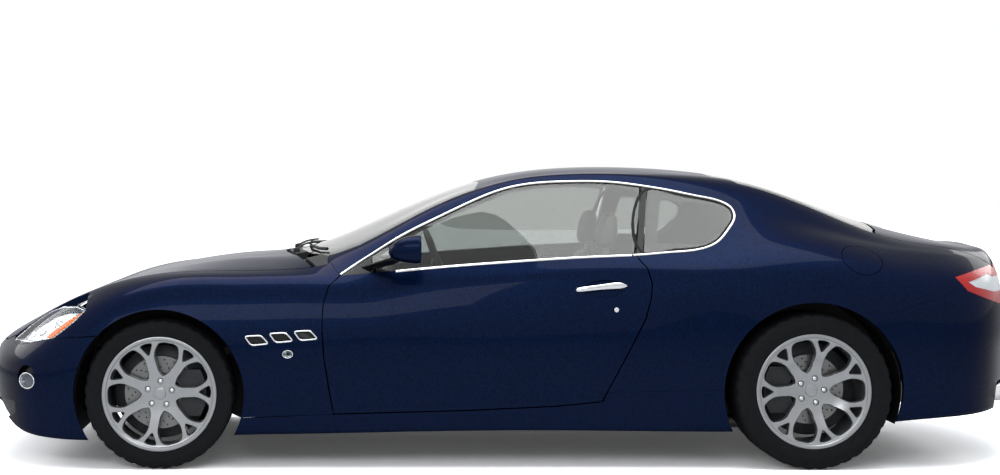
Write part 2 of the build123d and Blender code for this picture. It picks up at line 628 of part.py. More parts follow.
half_floor = (
    box(firewall_x, bulkhead_x, 0, floor_reach, floor_low, floor_high)
    + box(firewall_x, firewall_x + 25, 0, floor_reach, floor_low, firewall_high)
    + box(firewall_x, 560, 0, 125, floor_low, 400)
    + box(bulkhead_x - 410, bulkhead_x, 0, 640, floor_low, 300)
    + box(bulkhead_x - 25, bulkhead_x, 0, floor_reach + 40, floor_low, shelf_high)
    + box(bulkhead_x - 25, at_x(1760), 0, at_y(600), shelf_low, shelf_high)
) & cavity
jack_pad_x, jack_pad_y = (at_x(-880.0), at_x(880.0)), at_y(760.0)
jack_pad_size, jack_pad_high = 70.0, 14.0
for x in jack_pad_x:
    half_floor += box(x - jack_pad_size / 2, x + jack_pad_size / 2, jack_pad_y - jack_pad_size / 2,
        jack_pad_y + jack_pad_size / 2,
                      floor_low - jack_pad_high, floor_low + 1)
half_floor -= across(rear_axle_x, rear_wheel_z, rear_tyre_radius + rear_arch_gap + 6 + pin_clearance, 620,
    FAR)
half_floor = main_solid(half_floor)


def frame_half(end):
    """Rail, cross member and spring tower of one end, on the right."""
    w = WHEELS[end]
    x, z = w["x"], w["z"]
    low = z + ball_low - 14
    if end == "front":
        near, far, rail_low = at_x(-2200.0), firewall_x - pin_clearance, front_rail_low
    else:
        near, far, rail_low = bulkhead_x + pin_clearance, rear_cross_x, rear_rail_low
    part = box(near, far, rail_inner, rail_outer, rail_low, rail_low + 80)
    part += box(x - 85, x + 85, 0, rail_outer, low, low + 35)
    part += box(x - 85, x + 85, rail_outer - 25, rail_outer, low + 30, z + ball_high + 14)
    return part


def arms_half(end):
    """Upper and lower wishbones of one wheel, with an eye round each pin of the upright."""
    w = WHEELS[end]
    x, y, z = w["x"], w["y"] - kingpin_offset, w["z"]
    arms = []
    for height in (ball_low, ball_high):
        arm = rod((x - 70, rail_outer + pin_clearance, z + height), (x, y, z + height), 12.0)
        arm += rod((x + 70, rail_outer + pin_clearance, z + height), (x, y, z + height), 12.0)
        arm += rod((x, y, z + height - 12), (x, y, z + height + 12), 19.0)
        arm &= box(x - 200, x + 200, rail_outer + pin_clearance, y + 60, 0, 2000)
        arms.append(arm - rod((x, y, z + height - 60), (x, y, z + height + 60), 9.0 + pin_clearance))
    return arms


front_cross_x, tow_face_x = at_x(-2190.0), at_x(-2330.0)
tow_z = front_rail_low + 120.0
front_frame = frame_half("front") + box(front_cross_x - 40, front_cross_x, 0, rail_outer, tow_z - 50, tow_z + 50)
front_frame += box(tow_face_x, front_cross_x - 40, 190, 270, tow_z - 40, tow_z + 40)
slat_pitch, slat_width, grille_frame = 30.0, 7.0, 12.0
tow_socket_radius, tow_socket_depth = 8.0, 45.0
tow_socket_y = 7.5 * slat_pitch          # midway between two slats of the grille, so that the eye passes
front_frame -= rod((tow_face_x, tow_socket_y, tow_z), (tow_face_x + tow_socket_depth, tow_socket_y, tow_z),
    tow_socket_radius)
shaft_radius = 17.0
rear_frame = frame_half("rear") - across(rear_axle_x, rear_wheel_z, 2 * shaft_radius, 300, 600)
rear_frame += box(rear_cross_x - 40, rear_cross_x, 0, rail_outer, rear_rail_low, rear_rail_low + 80)
engine_block = box(at_x(-1745), firewall_x - 35, -290, 290, front_rail_low + pin_clearance,
    at_z(770))
radiator = box(front_cross_x + pin_clearance, front_cross_x + 50, -360, 360, at_z(245), at_z(560))
final_drive = across(rear_axle_x, rear_wheel_z, 105.0, -110, 110) + box(rear_axle_x - 60, rear_axle_x + 60,
    -90, 90, rear_wheel_z + ball_low + 21 + pin_clearance, rear_wheel_z)
half_shaft = rod((rear_axle_x, 100, rear_wheel_z), (rear_axle_x,
    rear_track / 2 - kingpin_offset - 26 - pin_clearance, rear_wheel_z), shaft_radius)
final_drive += half_shaft + left_of(half_shaft)


def liner_half(end, inner_y):
    """Wheel-arch liner: a curved sheet over the tyre, with a wall on its inner side above the arms."""
    w = WHEELS[end]
    radius = w["radius"] + (front_arch_gap if end == "front" else rear_arch_gap) + 2
    full = across(w["x"], w["z"], radius + 4, inner_y, at_y(930))
    part = full - across(w["x"], w["z"], radius, inner_y + 4, at_y(931))
    part &= box(w["x"] - 500, w["x"] + 500, 0, 930, w["z"] + 175, 2000) & cavity
    return main_solid(part)


front_liner = liner_half("front", rail_outer + 14)
rear_liner = liner_half("rear", 625)

# ---------------------------------------------------------------- cabin
seat_y = 370.0
driver_side = -1
dash_high = at_z(890.0)


def profile_block(points, near, far):
    return Pos(0, near, 0) * extrude(Plane.XZ * make_face(Polyline(*points, close=True)), far - near,
        dir=(0, 1, 0))


dashboard = profile_block(
    [(firewall_x + 25.3, dash_high - 320), (firewall_x + 25.3, dash_high - 78), (firewall_x + 310, dash_high - 52),
     (firewall_x + 400, dash_high), (firewall_x + 570, dash_high), (firewall_x + 660, dash_high - 40),
     (firewall_x + 685, dash_high - 120), (firewall_x + 590, dash_high - 240),
     (firewall_x + 410, dash_high - 320)], -at_y(690), at_y(690))
console = profile_block([(-700, 400.3), (-560, 600), (-500, 560), (-420, 520), (300, 510), (360, 400.3)],
    -115, 115)
dashboard += console
wheel_tilt = 20.0
rim_grip_radius = 180.0
steering_centre = Vector(firewall_x + 845, driver_side * seat_y, dash_high - 5)
column_axis = Vector(math.cos(math.radians(wheel_tilt)), 0, math.sin(math.radians(wheel_tilt)))
column_start = steering_centre - column_axis * (28 + pin_clearance)
dashboard += rod(tuple(column_start - column_axis * 260), tuple(column_start), 32.0)
wheel_plane = Plane(origin=steering_centre, z_dir=column_axis)
steering_wheel = Torus(rim_grip_radius, 14) + Pos(0, 0, -6) * Cylinder(48, 44)
for degrees in (0, 90, 180):
    a, c = polar(rim_grip_radius, degrees)
    steering_wheel += rod((0, 0, -6), (c, a, 0), 9)
steering_wheel = wheel_plane * steering_wheel


def seat_half():
    cushion = profile_block([(-170, 300), (-180, 395), (-130, 440), (60, 425), (300, 400), (330, 300)],
        seat_y - 245, seat_y + 235)
    base = box(-120, 290, seat_y - 200, seat_y + 200, floor_high + pin_clearance, 305)
    back = profile_block([(255, 330), (250, 470), (330, 720), (430, 930), (480, 965), (550, 950),
        (545, 860), (455, 640), (385, 330)],
                         seat_y - 235, seat_y + 225)
    head = across(524, 1062, 90, seat_y - 125, seat_y + 125)
    head = fillet(head.edges(), 38)
    post = box(512, 532, seat_y - 60, seat_y + 60, 930, 1000)
    return cushion + base + back + head + post


front_seat = seat_half()
seat_rear_x = bulkhead_x - 25.3
rear_seat = profile_block(
    [(seat_rear_x - 324.7, 300.3), (seat_rear_x - 329.7, 420), (seat_rear_x - 284.7, 450),
     (seat_rear_x - 104.7, 425), (seat_rear_x - 49.7, shelf_low - 85), (seat_rear_x, shelf_low - 75),
     (seat_rear_x, 300.3)], 130, 560)


# ---------------------------------------------------------------- outside pieces
mirror_x, mirror_y, mirror_z = on_body(-450.0, 948.0, 992.0)
housing = loft([
    Plane.YZ.offset(mirror_x + along) * Pos(mirror_y, mirror_z) * Ellipse(half_width, half_height)
    for along, half_width, half_height in ((-86, 30, 24), (-70, 52, 42), (-30, 72, 58), (20, 79, 64),
        (58, 78, 63))
])
mirror_arm = loft([
    Plane.XZ.offset(-(mirror_y - 45)) * Pos(mirror_x - 20, mirror_z - 34) * Rectangle(90, 26),
    Plane.XZ.offset(-at_y(772)) * Pos(at_x(-648), at_z(892)) * Rectangle(60, 14),
])
sail = half_shell & (side_block(SAIL) & box(at_x(-800), at_x(-500), 0, FAR, at_z(800), at_z(1000)))
mirror_piece = main_solid(housing + mirror_arm + main_solid(sail) - door - door_glass - body_side)
handle_bar = rod(on_body(320, 912, 806), on_body(540, 906, 824), 8.5)
handle_bar += rod(on_body(335, 912, 807), on_body(335, 880, 805), 8)
handle_bar += rod(on_body(525, 906, 823), on_body(525, 870, 820), 8)


def grille_face(inset):
    """Side outline of the grille, parallel to the nose and inset behind it."""
    return [(-2428 + inset, 498), (-2432 + inset, 440), (-2408 + inset, 330), (-2340 + inset, 262)]


grille_near, grille_far = grille_face(22), grille_face(42)
grille_slab = side_block(grille_near + grille_far[::-1], -1.0,
    400) & nose_block(grown(GRILLE, -seam_gap / 2))
grille_half = grille_slab - nose_block(grown(GRILLE, -grille_frame))
for k in range(12):
    middle = slat_pitch * k
    grille_half += grille_slab & box(-FAR, FAR, middle - slat_width / 2, middle + slat_width / 2, 0, 600)

flap_centre = surface_point(at_x(1609), at_z(943))
flap_out = Vector(0.143, 0.642, 0.759).normalized()
flap_along = (Vector(1, 0, 0) - flap_out * flap_out.X).normalized()
flap_axis = Plane(origin=flap_centre, z_dir=flap_out)
flap_radius = 92.0
flap_gap = 5.0
flap_hole = flap_axis * Pos(0, 0, -40) * Cylinder(flap_radius + flap_gap, 200)
flap_pin_at = flap_centre - flap_along * 58 - flap_out * 8
flap_pin_way = flap_along.cross(flap_out)


def flap_rod(radius, reach):
    return rod(tuple(flap_pin_at - flap_pin_way * reach), tuple(flap_pin_at + flap_pin_way * reach), radius)


flap_disc = main_solid(half_shell & (flap_axis * Cylinder(flap_radius, 26)))
flap_disc -= flap_rod(pin_radius["flap"] + hinge_clearance, 120)
filler_cup = flap_axis * (
    Pos(0, 0, -70) * Cylinder(flap_radius + 12, 50, align=(Align.CENTER, Align.CENTER, Align.MIN))
    - Pos(0, 0, -65) * Cylinder(flap_radius - 2, 60, align=(Align.CENTER, Align.CENTER, Align.MIN))
    + Pos(0, 0, -65) * Cylinder(30, 22, align=(Align.CENTER, Align.CENTER, Align.MIN))
)

exhaust_z = at_z(318.0)
exhaust_room = box(at_x(2150), FAR, 462, 668, exhaust_z - 218, exhaust_z + 54)
tip = Cylinder(43, 215, rotation=(0, 90, 0)) - Pos(10, 0, 0) * Cylinder(39, 215, rotation=(0, 90, 0))
muffler_front, muffler_rear, tip_x = at_x(1830.0), at_x(2120.0), at_x(2225.0)
exhaust = box(muffler_front, muffler_rear, -430, 430, exhaust_z - 73, exhaust_z + 22)
for y in (516, 614):
    for side in (-1, 1):
        exhaust += Pos(tip_x, side * y, exhaust_z) * tip
        exhaust += rod((tip_x - 106.5, side * y, exhaust_z), (muffler_rear - 60, side * 400, exhaust_z - 20), 30)
pipe_radius = 30.0
pipe_z = floor_low - pipe_radius - pin_clearance
for side in (-1, 1):
    bends = [(muffler_front + 10, side * 300, exhaust_z - 28), (at_x(1580), side * 330, pipe_z + 18.3),
             (at_x(1180), side * 330, pipe_z), (at_x(-1000), side * 200, pipe_z)]
    for start, end in zip(bends, bends[1:]):
        exhaust += rod(start, end, pipe_radius)

# ---------------------------------------------------------------- nodes
rear_bumper = main_solid(rear_bumper - exhaust_room)
nodes = {}


def put(name, solids, material_gap=None):
    solids = solids if isinstance(solids, (list, tuple)) else [solids]
    found = [s for solid in solids for s in (solid.solids() if not isinstance(solid, Solid) else [solid])]
    nodes[name] = found


def pair(solid):
    return [solid, left_of(solid)]


def across_centre(solid):
    """Both halves of a piece that crosses the middle of the car, as one solid."""
    return main_solid(solid) + left_of(main_solid(solid))


put("front_bumper", across_centre(front_bumper))
put("hood", across_centre(hood))
put("grille", across_centre(grille_half))
put("headlamps", pair(main_solid(headlamp)))
fender = main_solid(main_solid(fender) + door_hinge + hood_pin)
put("fender_right", fender)
put("fender_left", left_of(fender))
put("door_right", main_solid(door))
put("door_left", left_of(main_solid(door)))
put("door_glass_right", main_solid(door_glass))
put("door_glass_left", left_of(main_solid(door_glass)))
body_side = main_solid(main_solid(body_side) + boot_pin)
put("body_side_right", body_side)
put("body_side_left", left_of(main_solid(body_side - flap_hole + flap_rod(pin_radius["flap"], 84))))
put("sills", pair(main_solid(sill)))
put("roof", across_centre(roof))
put("windscreen", across_centre(windscreen))
put("rear_window", across_centre(rear_window))
put("quarter_glass", pair(main_solid(quarter_glass)))
put("pillar_trim", pair(main_solid(pillar_trim)))
put("cowl", across_centre(cowl))
put("boot_lid", across_centre(boot_lid))
put("rear_bumper", across_centre(rear_bumper))
put("tail_lamps", pair(main_solid(tail_lamp)))
put("floor", across_centre(half_floor))
put("front_frame", across_centre(front_frame))
put("rear_frame", across_centre(rear_frame))
put("front_suspension", [s for arm in arms_half("front") for s in pair(arm)])
put("rear_suspension", [s for arm in arms_half("rear") for s in pair(arm)])
put("final_drive", final_drive)
put("engine", engine_block)
put("radiator", radiator)
put("arch_liners", pair(front_liner) + pair(rear_liner))
put("dashboard", dashboard)
put("steering_wheel", steering_wheel)
put("front_seats", pair(front_seat))
put("rear_seats", pair(rear_seat))
put("mirror_right", mirror_piece)
put("mirror_left", left_of(mirror_piece))
put("exhaust", exhaust)
put("fuel_flap", left_of(flap_disc))
put("fuel_filler", left_of(main_solid(filler_cup - half_shell)))
handle_bar = main_solid(handle_bar - door)
put("door_handle_right", handle_bar)
put("door_handle_left", left_of(handle_bar))
for end, letter in (("front", "f"), ("rear", "r")):
    for kind in ("tyre", "rim", "brake_disc"):
        put(f"{kind}_{letter}r", wheel_parts[kind, end])
        put(f"{kind}_{letter}l", left_of(wheel_parts[kind, end]))
put("knuckle_fr", wheel_parts["knuckle", "front"])
put("knuckle_fl", left_of(wheel_parts["knuckle", "front"]))
put("rear_uprights", pair(wheel_parts["knuckle", "rear"]))

os.makedirs("parts", exist_ok=True)
for name, solids in nodes.items():
    export_step(Compound(children=list(solids)) if len(solids) > 1 else solids[0], f"parts/{name}.step")
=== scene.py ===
# %% [markdown]
# # A two-door grand touring coupe
# The car is a pressed-metal body on a frame. The CAD model gives every node's place and how it
# moves. This script dresses those nodes: it rebuilds the body skin finely enough for paint to
# reflect smoothly, and adds the trim, lamps, wheels and cabin that a viewer looks for.

import math

import bmesh
import bpy
import numpy as np
from mathutils import Matrix, Vector
from mathutils.bvhtree import BVHTree


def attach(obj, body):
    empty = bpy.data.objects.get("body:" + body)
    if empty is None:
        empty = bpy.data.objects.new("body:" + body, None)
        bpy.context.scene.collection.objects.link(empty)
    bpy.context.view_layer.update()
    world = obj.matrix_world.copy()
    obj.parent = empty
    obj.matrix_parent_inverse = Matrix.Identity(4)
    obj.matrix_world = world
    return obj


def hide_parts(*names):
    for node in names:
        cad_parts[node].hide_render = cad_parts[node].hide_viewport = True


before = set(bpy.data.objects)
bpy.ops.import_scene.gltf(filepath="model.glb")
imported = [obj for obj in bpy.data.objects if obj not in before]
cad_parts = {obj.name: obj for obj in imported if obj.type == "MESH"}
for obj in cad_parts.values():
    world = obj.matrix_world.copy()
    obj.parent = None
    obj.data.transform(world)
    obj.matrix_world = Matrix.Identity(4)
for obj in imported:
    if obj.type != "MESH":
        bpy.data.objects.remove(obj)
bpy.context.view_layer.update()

# %% [markdown]
# ## Helpers
# A few helpers carry the whole file. Some build materials: a hex colour becomes the linear values
# that Blender wants, and a texture fades the colour or raises the surface. The others turn points
# and faces into a mesh, and hang it on a moving body.

# %% Colour, node and object helpers
MM = 0.001
SIDES = (("right", 1), ("left", -1))  # with the sign of y


def linear(hex_colour, alpha=1.0):
    """sRGB hex to linear red, green, blue and alpha."""
    parts = [int(hex_colour[i : i + 2], 16) / 255 for i in (1, 3, 5)]
    return tuple(c / 12.92 if c <= 0.04045 else ((c + 0.055) / 1.055) ** 2.4 for c in parts) + (alpha,)


def add(tree, kind, links=(), **settings):
    """Add a node: settings are attributes or input sockets, links are (input, output socket)."""
    node = tree.nodes.new(kind)
    for key, value in settings.items():
        if hasattr(node, key):
            setattr(node, key, value)
        else:
            node.inputs[key.replace("_", " ")].default_value = value
    for target, source in links:
        tree.links.new(source, node.inputs[target])
    return node


def start_material(name, **sockets):
    """A new material with one principled shader, whose plain sockets are given by name."""
    material = bpy.data.materials.new(name)
    material.use_nodes = True
    shader = material.node_tree.nodes["Principled BSDF"]
    for key, value in sockets.items():
        shader.inputs[key.replace("_", " ")].default_value = value
    return material, material.node_tree, shader


def two_tones(tree, shader, factor, dark, light):
    """Let a texture fade the base colour between two tones."""
    fade = add(tree, "ShaderNodeMix", [("Factor", factor)], data_type="RGBA")
    fade.inputs[6].default_value, fade.inputs[7].default_value = linear(dark), linear(light)
    tree.links.new(fade.outputs[2], shader.inputs["Base Color"])


def mottled(name, scale, dark, light, detail=2.0, **sockets):
    """A material whose colour wanders between two tones in soft clouds."""
    material, tree, shader = start_material(name, **sockets)
    clouds = add(tree, "ShaderNodeTexNoise", Scale=scale, Detail=detail)
    two_tones(tree, shader, clouds.outputs[0], dark, light)
    return material


def relief(tree, shader, height, strength, distance, invert=False):
    """Let a texture stand out from the surface by a distance in metres."""
    bump = add(
        tree, "ShaderNodeBump", [("Height", height)], Strength=strength, Distance=distance, invert=invert
    )
    tree.links.new(bump.outputs[0], shader.inputs["Normal"])


def in_object_space(tree, texture):
    """Fix a texture to the object, so that its size is in real metres."""
    coordinates = add(tree, "ShaderNodeTexCoord")
    tree.links.new(coordinates.outputs["Object"], texture.inputs["Vector"])


def faced_outwards(mesh, triangles=False):
    """Turn the faces of a mesh outwards, after cutting them into triangles if that is wanted."""
    bm = bmesh.new()
    bm.from_mesh(mesh)
    if triangles:
        bmesh.ops.triangulate(bm, faces=bm.faces)
    bmesh.ops.recalc_face_normals(bm, faces=bm.faces)
    bm.to_mesh(mesh)
    bm.free()
    return mesh


def as_mesh(name, points, faces, triangles=False):
    """A mesh from points in millimetres."""
    mesh = bpy.data.meshes.new(name)
    mesh.from_pydata([tuple(c * MM for c in p) for p in points], [], faces)
    return faced_outwards(mesh, triangles)


def quads(i, j, count):
    """The faces between ring i and ring j of a mesh whose rings all have the same count of points."""
    return [
        [i * count + k, i * count + (k + 1) % count, j * count + (k + 1) % count, j * count + k]
        for k in range(count)
    ]


def circle(count):
    """Angles evenly spaced round a circle."""
    return np.linspace(0, 2 * math.pi, count, endpoint=False)


def lofted(rings):
    """A closed mesh through rings of the same count."""
    count, last = len(rings[0]), len(rings) - 1
    faces = [face for i in range(last) for face in quads(i, i + 1, count)]
    faces += [list(range(count)), [last * count + k for k in range(count)]]
    return as_mesh("loft", [p for ring in rings for p in ring], faces)


def looped(rings, count):
    """The faces of a closed loop of rings of the same count."""
    return [face for i in range(rings) for face in quads(i, (i + 1) % rings, count)]


def one_material(mesh, index=0):
    """Give every face of a mesh the same one of its materials."""
    for polygon in mesh.polygons:
        polygon.material_index = index
    return mesh


def make_piece(name, points, faces, materials, body, smooth):
    """A mesh object from points in metres, smooth where faces meet at less than an angle."""
    mesh = bpy.data.meshes.new(name)
    mesh.from_pydata([tuple(map(float, p)) for p in points], [], [tuple(map(int, f)) for f in faces])
    return dress_mesh(name, mesh, materials, body, smooth)


def dress_mesh(name, mesh, materials, body, smooth=40, indices=None):
    """Put a mesh in the scene with its materials and body."""
    mesh.name = name
    mesh.materials.clear()
    for material in materials if isinstance(materials, (list, tuple)) else [materials]:
        mesh.materials.append(material)
    if indices is not None:
        mesh.polygons.foreach_set("material_index", indices)
    mesh.shade_smooth()
    mesh.set_sharp_from_angle(angle=math.radians(smooth))
    thing = bpy.data.objects.new(name, mesh)
    bpy.context.scene.collection.objects.link(thing)
    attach(thing, body)
    return thing


# %% [markdown]
# ## Body lines
# A car body is drawn as lines that run its whole length. Here eight lines per side, given at
# cross-sections along the car, describe the outer skin: the same lines as in the CAD source, so
# the dressed panels lie on the solids. Splines across and along them give a smooth surface.

# %% The lines and the smooth surface through them
NOSE, FRONT_AXLE, REAR_AXLE, TAIL = -2440.5, -1567.5, 1374.5, 2440.5
PANEL_WALL, CABIN_WALL, ROOF_WALL = 30.0, 95.0, 34.0
NOSE_ROUNDING, TAIL_ROUNDING = 700.0, 600.0
LINES = (
    (-2440.5, (0, 440), (310, 438), (500, 434), (640, 428), (790, 415), (915, 405), (920, 392), (880, 380)),
    (-2425, (0, 505), (310, 502), (500, 492), (640, 476), (780, 450), (913, 400), (920, 350), (880, 322)),
    (-2380, (0, 548), (310, 545), (490, 535), (620, 518), (765, 485), (913, 420), (920, 330), (880, 285)),
    (-2262, (0, 619), (340, 615), (510, 605), (645, 585), (775, 540), (920, 455), (925, 290), (885, 172)),
    (-2062, (0, 724), (385, 722), (560, 716), (705, 702), (815, 642), (928, 500), (930, 300), (890, 130)),
    (-1862, (0, 806), (415, 805), (600, 803), (742, 796), (855, 732), (936, 560), (936, 340), (892, 129)),
    (-1567.5, (0, 882), (445, 881), (620, 878), (762, 872), (862, 835), (945, 640), (940, 400), (894, 140)),
    (-1263, (0, 928), (455, 920), (622, 902), (762, 880), (852, 846), (932, 640), (926, 380), (890, 152)),
    (-1000, (0, 957), (490, 945), (650, 918), (770, 887), (845, 846), (918, 645), (912, 370), (885, 156)),
    (-850, (0, 992), (640, 940), (720, 912), (796, 876), (852, 832), (912, 642), (906, 365), (884, 158)),
    (-663, (0, 1066), (672, 1000), (745, 952), (822, 873), (862, 810), (908, 640), (900, 360), (884, 162)),
    (-363, (0, 1197), (622, 1157), (700, 1075), (826, 902), (868, 830), (905, 640), (899, 358), (884, 168)),
    (-63, (0, 1302), (560, 1275), (640, 1232), (826, 926), (870, 850), (905, 645), (899, 358), (884, 172)),
    (236, (0, 1357), (542, 1328), (606, 1283), (826, 947), (873, 868), (907, 655), (900, 358), (884, 172)),
    (636, (0, 1365), (540, 1330), (606, 1275), (822, 970), (878, 885), (912, 670), (905, 364), (886, 169)),
    (936, (0, 1345), (540, 1306), (630, 1222), (800, 1002), (885, 905), (925, 685), (918, 378), (888, 167)),
    (1236, (0, 1293), (535, 1249), (645, 1150), (790, 1032), (888, 930), (948, 692), (938, 398), (890, 170)),
    (1450, (0, 1221), (555, 1172), (660, 1095), (785, 1022), (888, 930), (957, 695), (945, 410), (892, 180)),
    (1700, (0, 1134), (600, 1052), (690, 1010), (770, 972), (880, 895), (948, 695), (936, 412), (888, 210)),
    (1850, (0, 1082), (608, 1022), (690, 992), (768, 955), (872, 880), (938, 693), (928, 418), (884, 220)),
    (2035, (0, 1031), (605, 998), (690, 972), (765, 938), (862, 872), (930, 690), (922, 425), (880, 230)),
    (2235, (0, 997), (600, 975), (690, 952), (765, 922), (855, 865), (924, 690), (916, 430), (876, 245)),
    (2325, (0, 989), (600, 965), (690, 942), (765, 912), (852, 858), (922, 690), (914, 430), (874, 255)),
    (2345, (0, 962), (600, 938), (690, 915), (765, 885), (850, 832), (920, 675), (912, 430), (874, 262)),
    (2385, (0, 702), (600, 694), (690, 686), (765, 676), (848, 658), (918, 600), (910, 430), (874, 290)),
    (2425, (0, 640), (600, 634), (690, 626), (765, 618), (845, 602), (914, 540), (906, 430), (872, 350)),
    (2440.5, (0, 548), (600, 544), (690, 538), (765, 530), (842, 518), (910, 480), (904, 440), (870, 420)),
)
LINE_X = np.array([row[0] for row in LINES], float)
LINE_YZ = np.array([row[1:] for row in LINES], float).reshape(len(LINES), -1)


def monotone_slopes(x, values):
    """Slopes of a curve through the values that never overshoots them."""
    step = np.diff(x)[:, None]
    rise = np.diff(values, axis=0) / step
    slopes = np.zeros_like(values)
    early, late = 2 * step[1:] + step[:-1], step[1:] + 2 * step[:-1]
    same_way = rise[:-1] * rise[1:] > 0
    safe = np.where(same_way, rise[:-1], 1), np.where(same_way, rise[1:], 1)
    slopes[1:-1] = np.where(same_way, (early + late) / (early / safe[0] + late / safe[1]), 0)
    slopes[0], slopes[-1] = rise[0], rise[-1]
    return slopes


LINE_SLOPES = monotone_slopes(LINE_X, LINE_YZ)


def drawn_lines(x):
    """The eight lines at a cross-section, as half widths and heights."""
    i = int(np.clip(np.searchsorted(LINE_X, x) - 1, 0, len(LINE_X) - 2))
    h = LINE_X[i + 1] - LINE_X[i]
    t = min(max((x - LINE_X[i]) / h, 0.0), 1.0)
    return (
        (2 * t**3 - 3 * t**2 + 1) * LINE_YZ[i] + (t**3 - 2 * t**2 + t) * h * LINE_SLOPES[i]
        + (3 * t**2 - 2 * t**3) * LINE_YZ[i + 1] + (t**3 - t**2) * h * LINE_SLOPES[i + 1]
    )


def faired_lines(x):
    """The lines smoothed along the car, as a batten would, less so near the nose and tail."""
    reach = min(max(0.12 * min(x - NOSE, TAIL - x), 0.0), 45.0)
    weights = (1, 4, 6, 4, 1)
    total = sum(w * drawn_lines(x + k * reach) for w, k in zip(weights, (-2, -1, 0, 1, 2)))
    return (total / sum(weights)).reshape(-1, 2)


def plan_rounding(x):
    """Share of the full width, where the nose and tail are rounded in plan."""
    if x < NOSE + NOSE_ROUNDING:
        return max(0.0, 1 - ((NOSE + NOSE_ROUNDING - x) / NOSE_ROUNDING) ** 2.5) ** (1 / 2.5)
    if x > TAIL - TAIL_ROUNDING:
        return max(0.0, 1 - ((x - TAIL + TAIL_ROUNDING) / TAIL_ROUNDING) ** 2.3) ** (1 / 2.3)
    return 1.0


def wall_depths(x):
    """How deep the wall is at each line: a whole door beside the cabin, a panel elsewhere."""
    share = min(np.clip((x + 1000.0) / 200.0, 0, 1), np.clip((1300.0 - x) / 250.0, 0, 1))
    low, top = PANEL_WALL + (CABIN_WALL - PANEL_WALL) * share, PANEL_WALL + (ROOF_WALL - PANEL_WALL) * share
    middle = PANEL_WALL + 0.45 * (CABIN_WALL - PANEL_WALL) * share
    return np.array([top, top, top, middle, low, low, low, low])


def section_points(x, depths):
    """Right half of a cross-section, moved inwards by the depths, with an even crown on top."""
    lines = faired_lines(x)
    lines[:, 0] *= plan_rounding(x)
    along = np.gradient(lines, axis=0)
    along[0] = (1.0, 0.0)
    outward = np.stack([-along[:, 1], along[:, 0]], axis=1)
    outward /= np.maximum(np.linalg.norm(outward, axis=1, keepdims=True), 1e-6)
    moved = lines - outward * np.asarray(depths).reshape(-1, 1)
    moved[0, 0] = 0.0
    (_, middle), (half, edge) = moved[:2]
    crown = [(share * half, middle - share**2 * (middle - edge)) for share in (0.35, 0.7)]
    return np.vstack([moved[:1], crown, moved[1:]])


def spline(knots, values, wanted):
    """Cubic spline through the values at the knots, with no bend at its ends, at the wanted places."""
    n = len(knots)
    h = np.diff(knots)
    flat = values.reshape(n, -1)
    system, right = np.zeros((n, n)), np.zeros_like(flat)
    system[0, 0] = system[-1, -1] = 1
    for i in range(1, n - 1):
        system[i, i - 1 : i + 2] = h[i - 1], 2 * (h[i - 1] + h[i]), h[i]
        right[i] = 6 * ((flat[i + 1] - flat[i]) / h[i] - (flat[i] - flat[i - 1]) / h[i - 1])
    bend = np.linalg.solve(system, right)
    i = np.clip(np.searchsorted(knots, wanted, side="right") - 1, 0, n - 2)
    left, rest, step = (wanted - knots[i])[:, None], (knots[i + 1] - wanted)[:, None], h[i][:, None]
    curved = (bend[i] * rest**3 + bend[i + 1] * left**3) / (6 * step)
    result = curved + (flat[i] / step - bend[i] * step / 6) * rest
    result += (flat[i + 1] / step - bend[i + 1] * step / 6) * left
    return result.reshape((len(wanted),) + values.shape[1:])


def stations(first, last):
    """Cross-sections of a hull, closer together where it rounds off."""
    ends = (0.0, 14.0, 45.0, 100.0, 190.0, 320.0)
    front, rear = [first + e for e in ends], [last - e for e in ends[::-1]]
    return np.array(front + list(np.linspace(front[-1], rear[0], 15)[1:-1]) + rear)


sections = [section_points(x, np.zeros(8)) for x in LINE_X[2:-2]]
steps = np.mean([np.linalg.norm(np.diff(points, axis=0), axis=1) for points in sections], axis=0)
AROUND = np.concatenate([[0.0], np.cumsum(np.concatenate([steps[::-1], steps]))])
AROUND /= AROUND[-1]


def hull_grid(depth, end, along_count=300, around_count=181):
    """Points of a hull in millimetres: rows along the car, columns from the left edge to the right."""
    xs = stations(NOSE + end, TAIL - end)
    rows = []
    for x in xs:
        points = section_points(x, wall_depths(x) if depth is None else np.full(8, depth))
        if depth is None:
            share = min(np.clip((x + 2180.0) / 130.0, 0, 1), np.clip((2330.0 - x) / 130.0, 0, 1))
            points[-1, 1] -= -PANEL_WALL + (200.0 + PANEL_WALL) * share
        left = points[:0:-1] * (-1, 1)
        rows.append(np.column_stack([np.full(19, x), np.vstack([left, points])]))
    rows = np.array(rows)
    across = np.linspace(0, 1, around_count)
    across_curves = spline(AROUND, rows.transpose(1, 0, 2), across).transpose(1, 0, 2)
    gaps = np.mean(np.linalg.norm(np.diff(rows, axis=0), axis=2), axis=1)
    distance = np.concatenate([[0.0], np.cumsum(gaps)])
    return spline(distance, across_curves, np.linspace(0, distance[-1], along_count))


outer = hull_grid(0.0, 4.0)
print("outer skin", outer.shape, "length", round(float(np.ptp(outer[..., 0])), 1), "mm")

# %% [markdown]
# ## Camera, floor and soft light
# The car stands side-on and a long lens keeps it free of distortion. A pale floor that meets a
# pale world gives a studio without corners. Four large area lamps, one over the car and three
# round it, give the long soft streaks that show how a painted body curves.

# %% Camera, floor, lamps and world
camera_data = bpy.data.cameras.new("camera")
camera_data.sensor_width, camera_data.lens = 36.0, 64.836
camera_data.shift_x, camera_data.shift_y = 0.140, -0.0575
camera_data.clip_end = 200.0
camera = bpy.data.objects.new("camera", camera_data)
camera.location = (-0.6631, -9.0, 1.301)
camera.rotation_euler = (math.radians(90), 0, 0)
bpy.context.scene.collection.objects.link(camera)
bpy.context.scene.camera = camera
bpy.context.scene.view_settings.view_transform = "Standard"


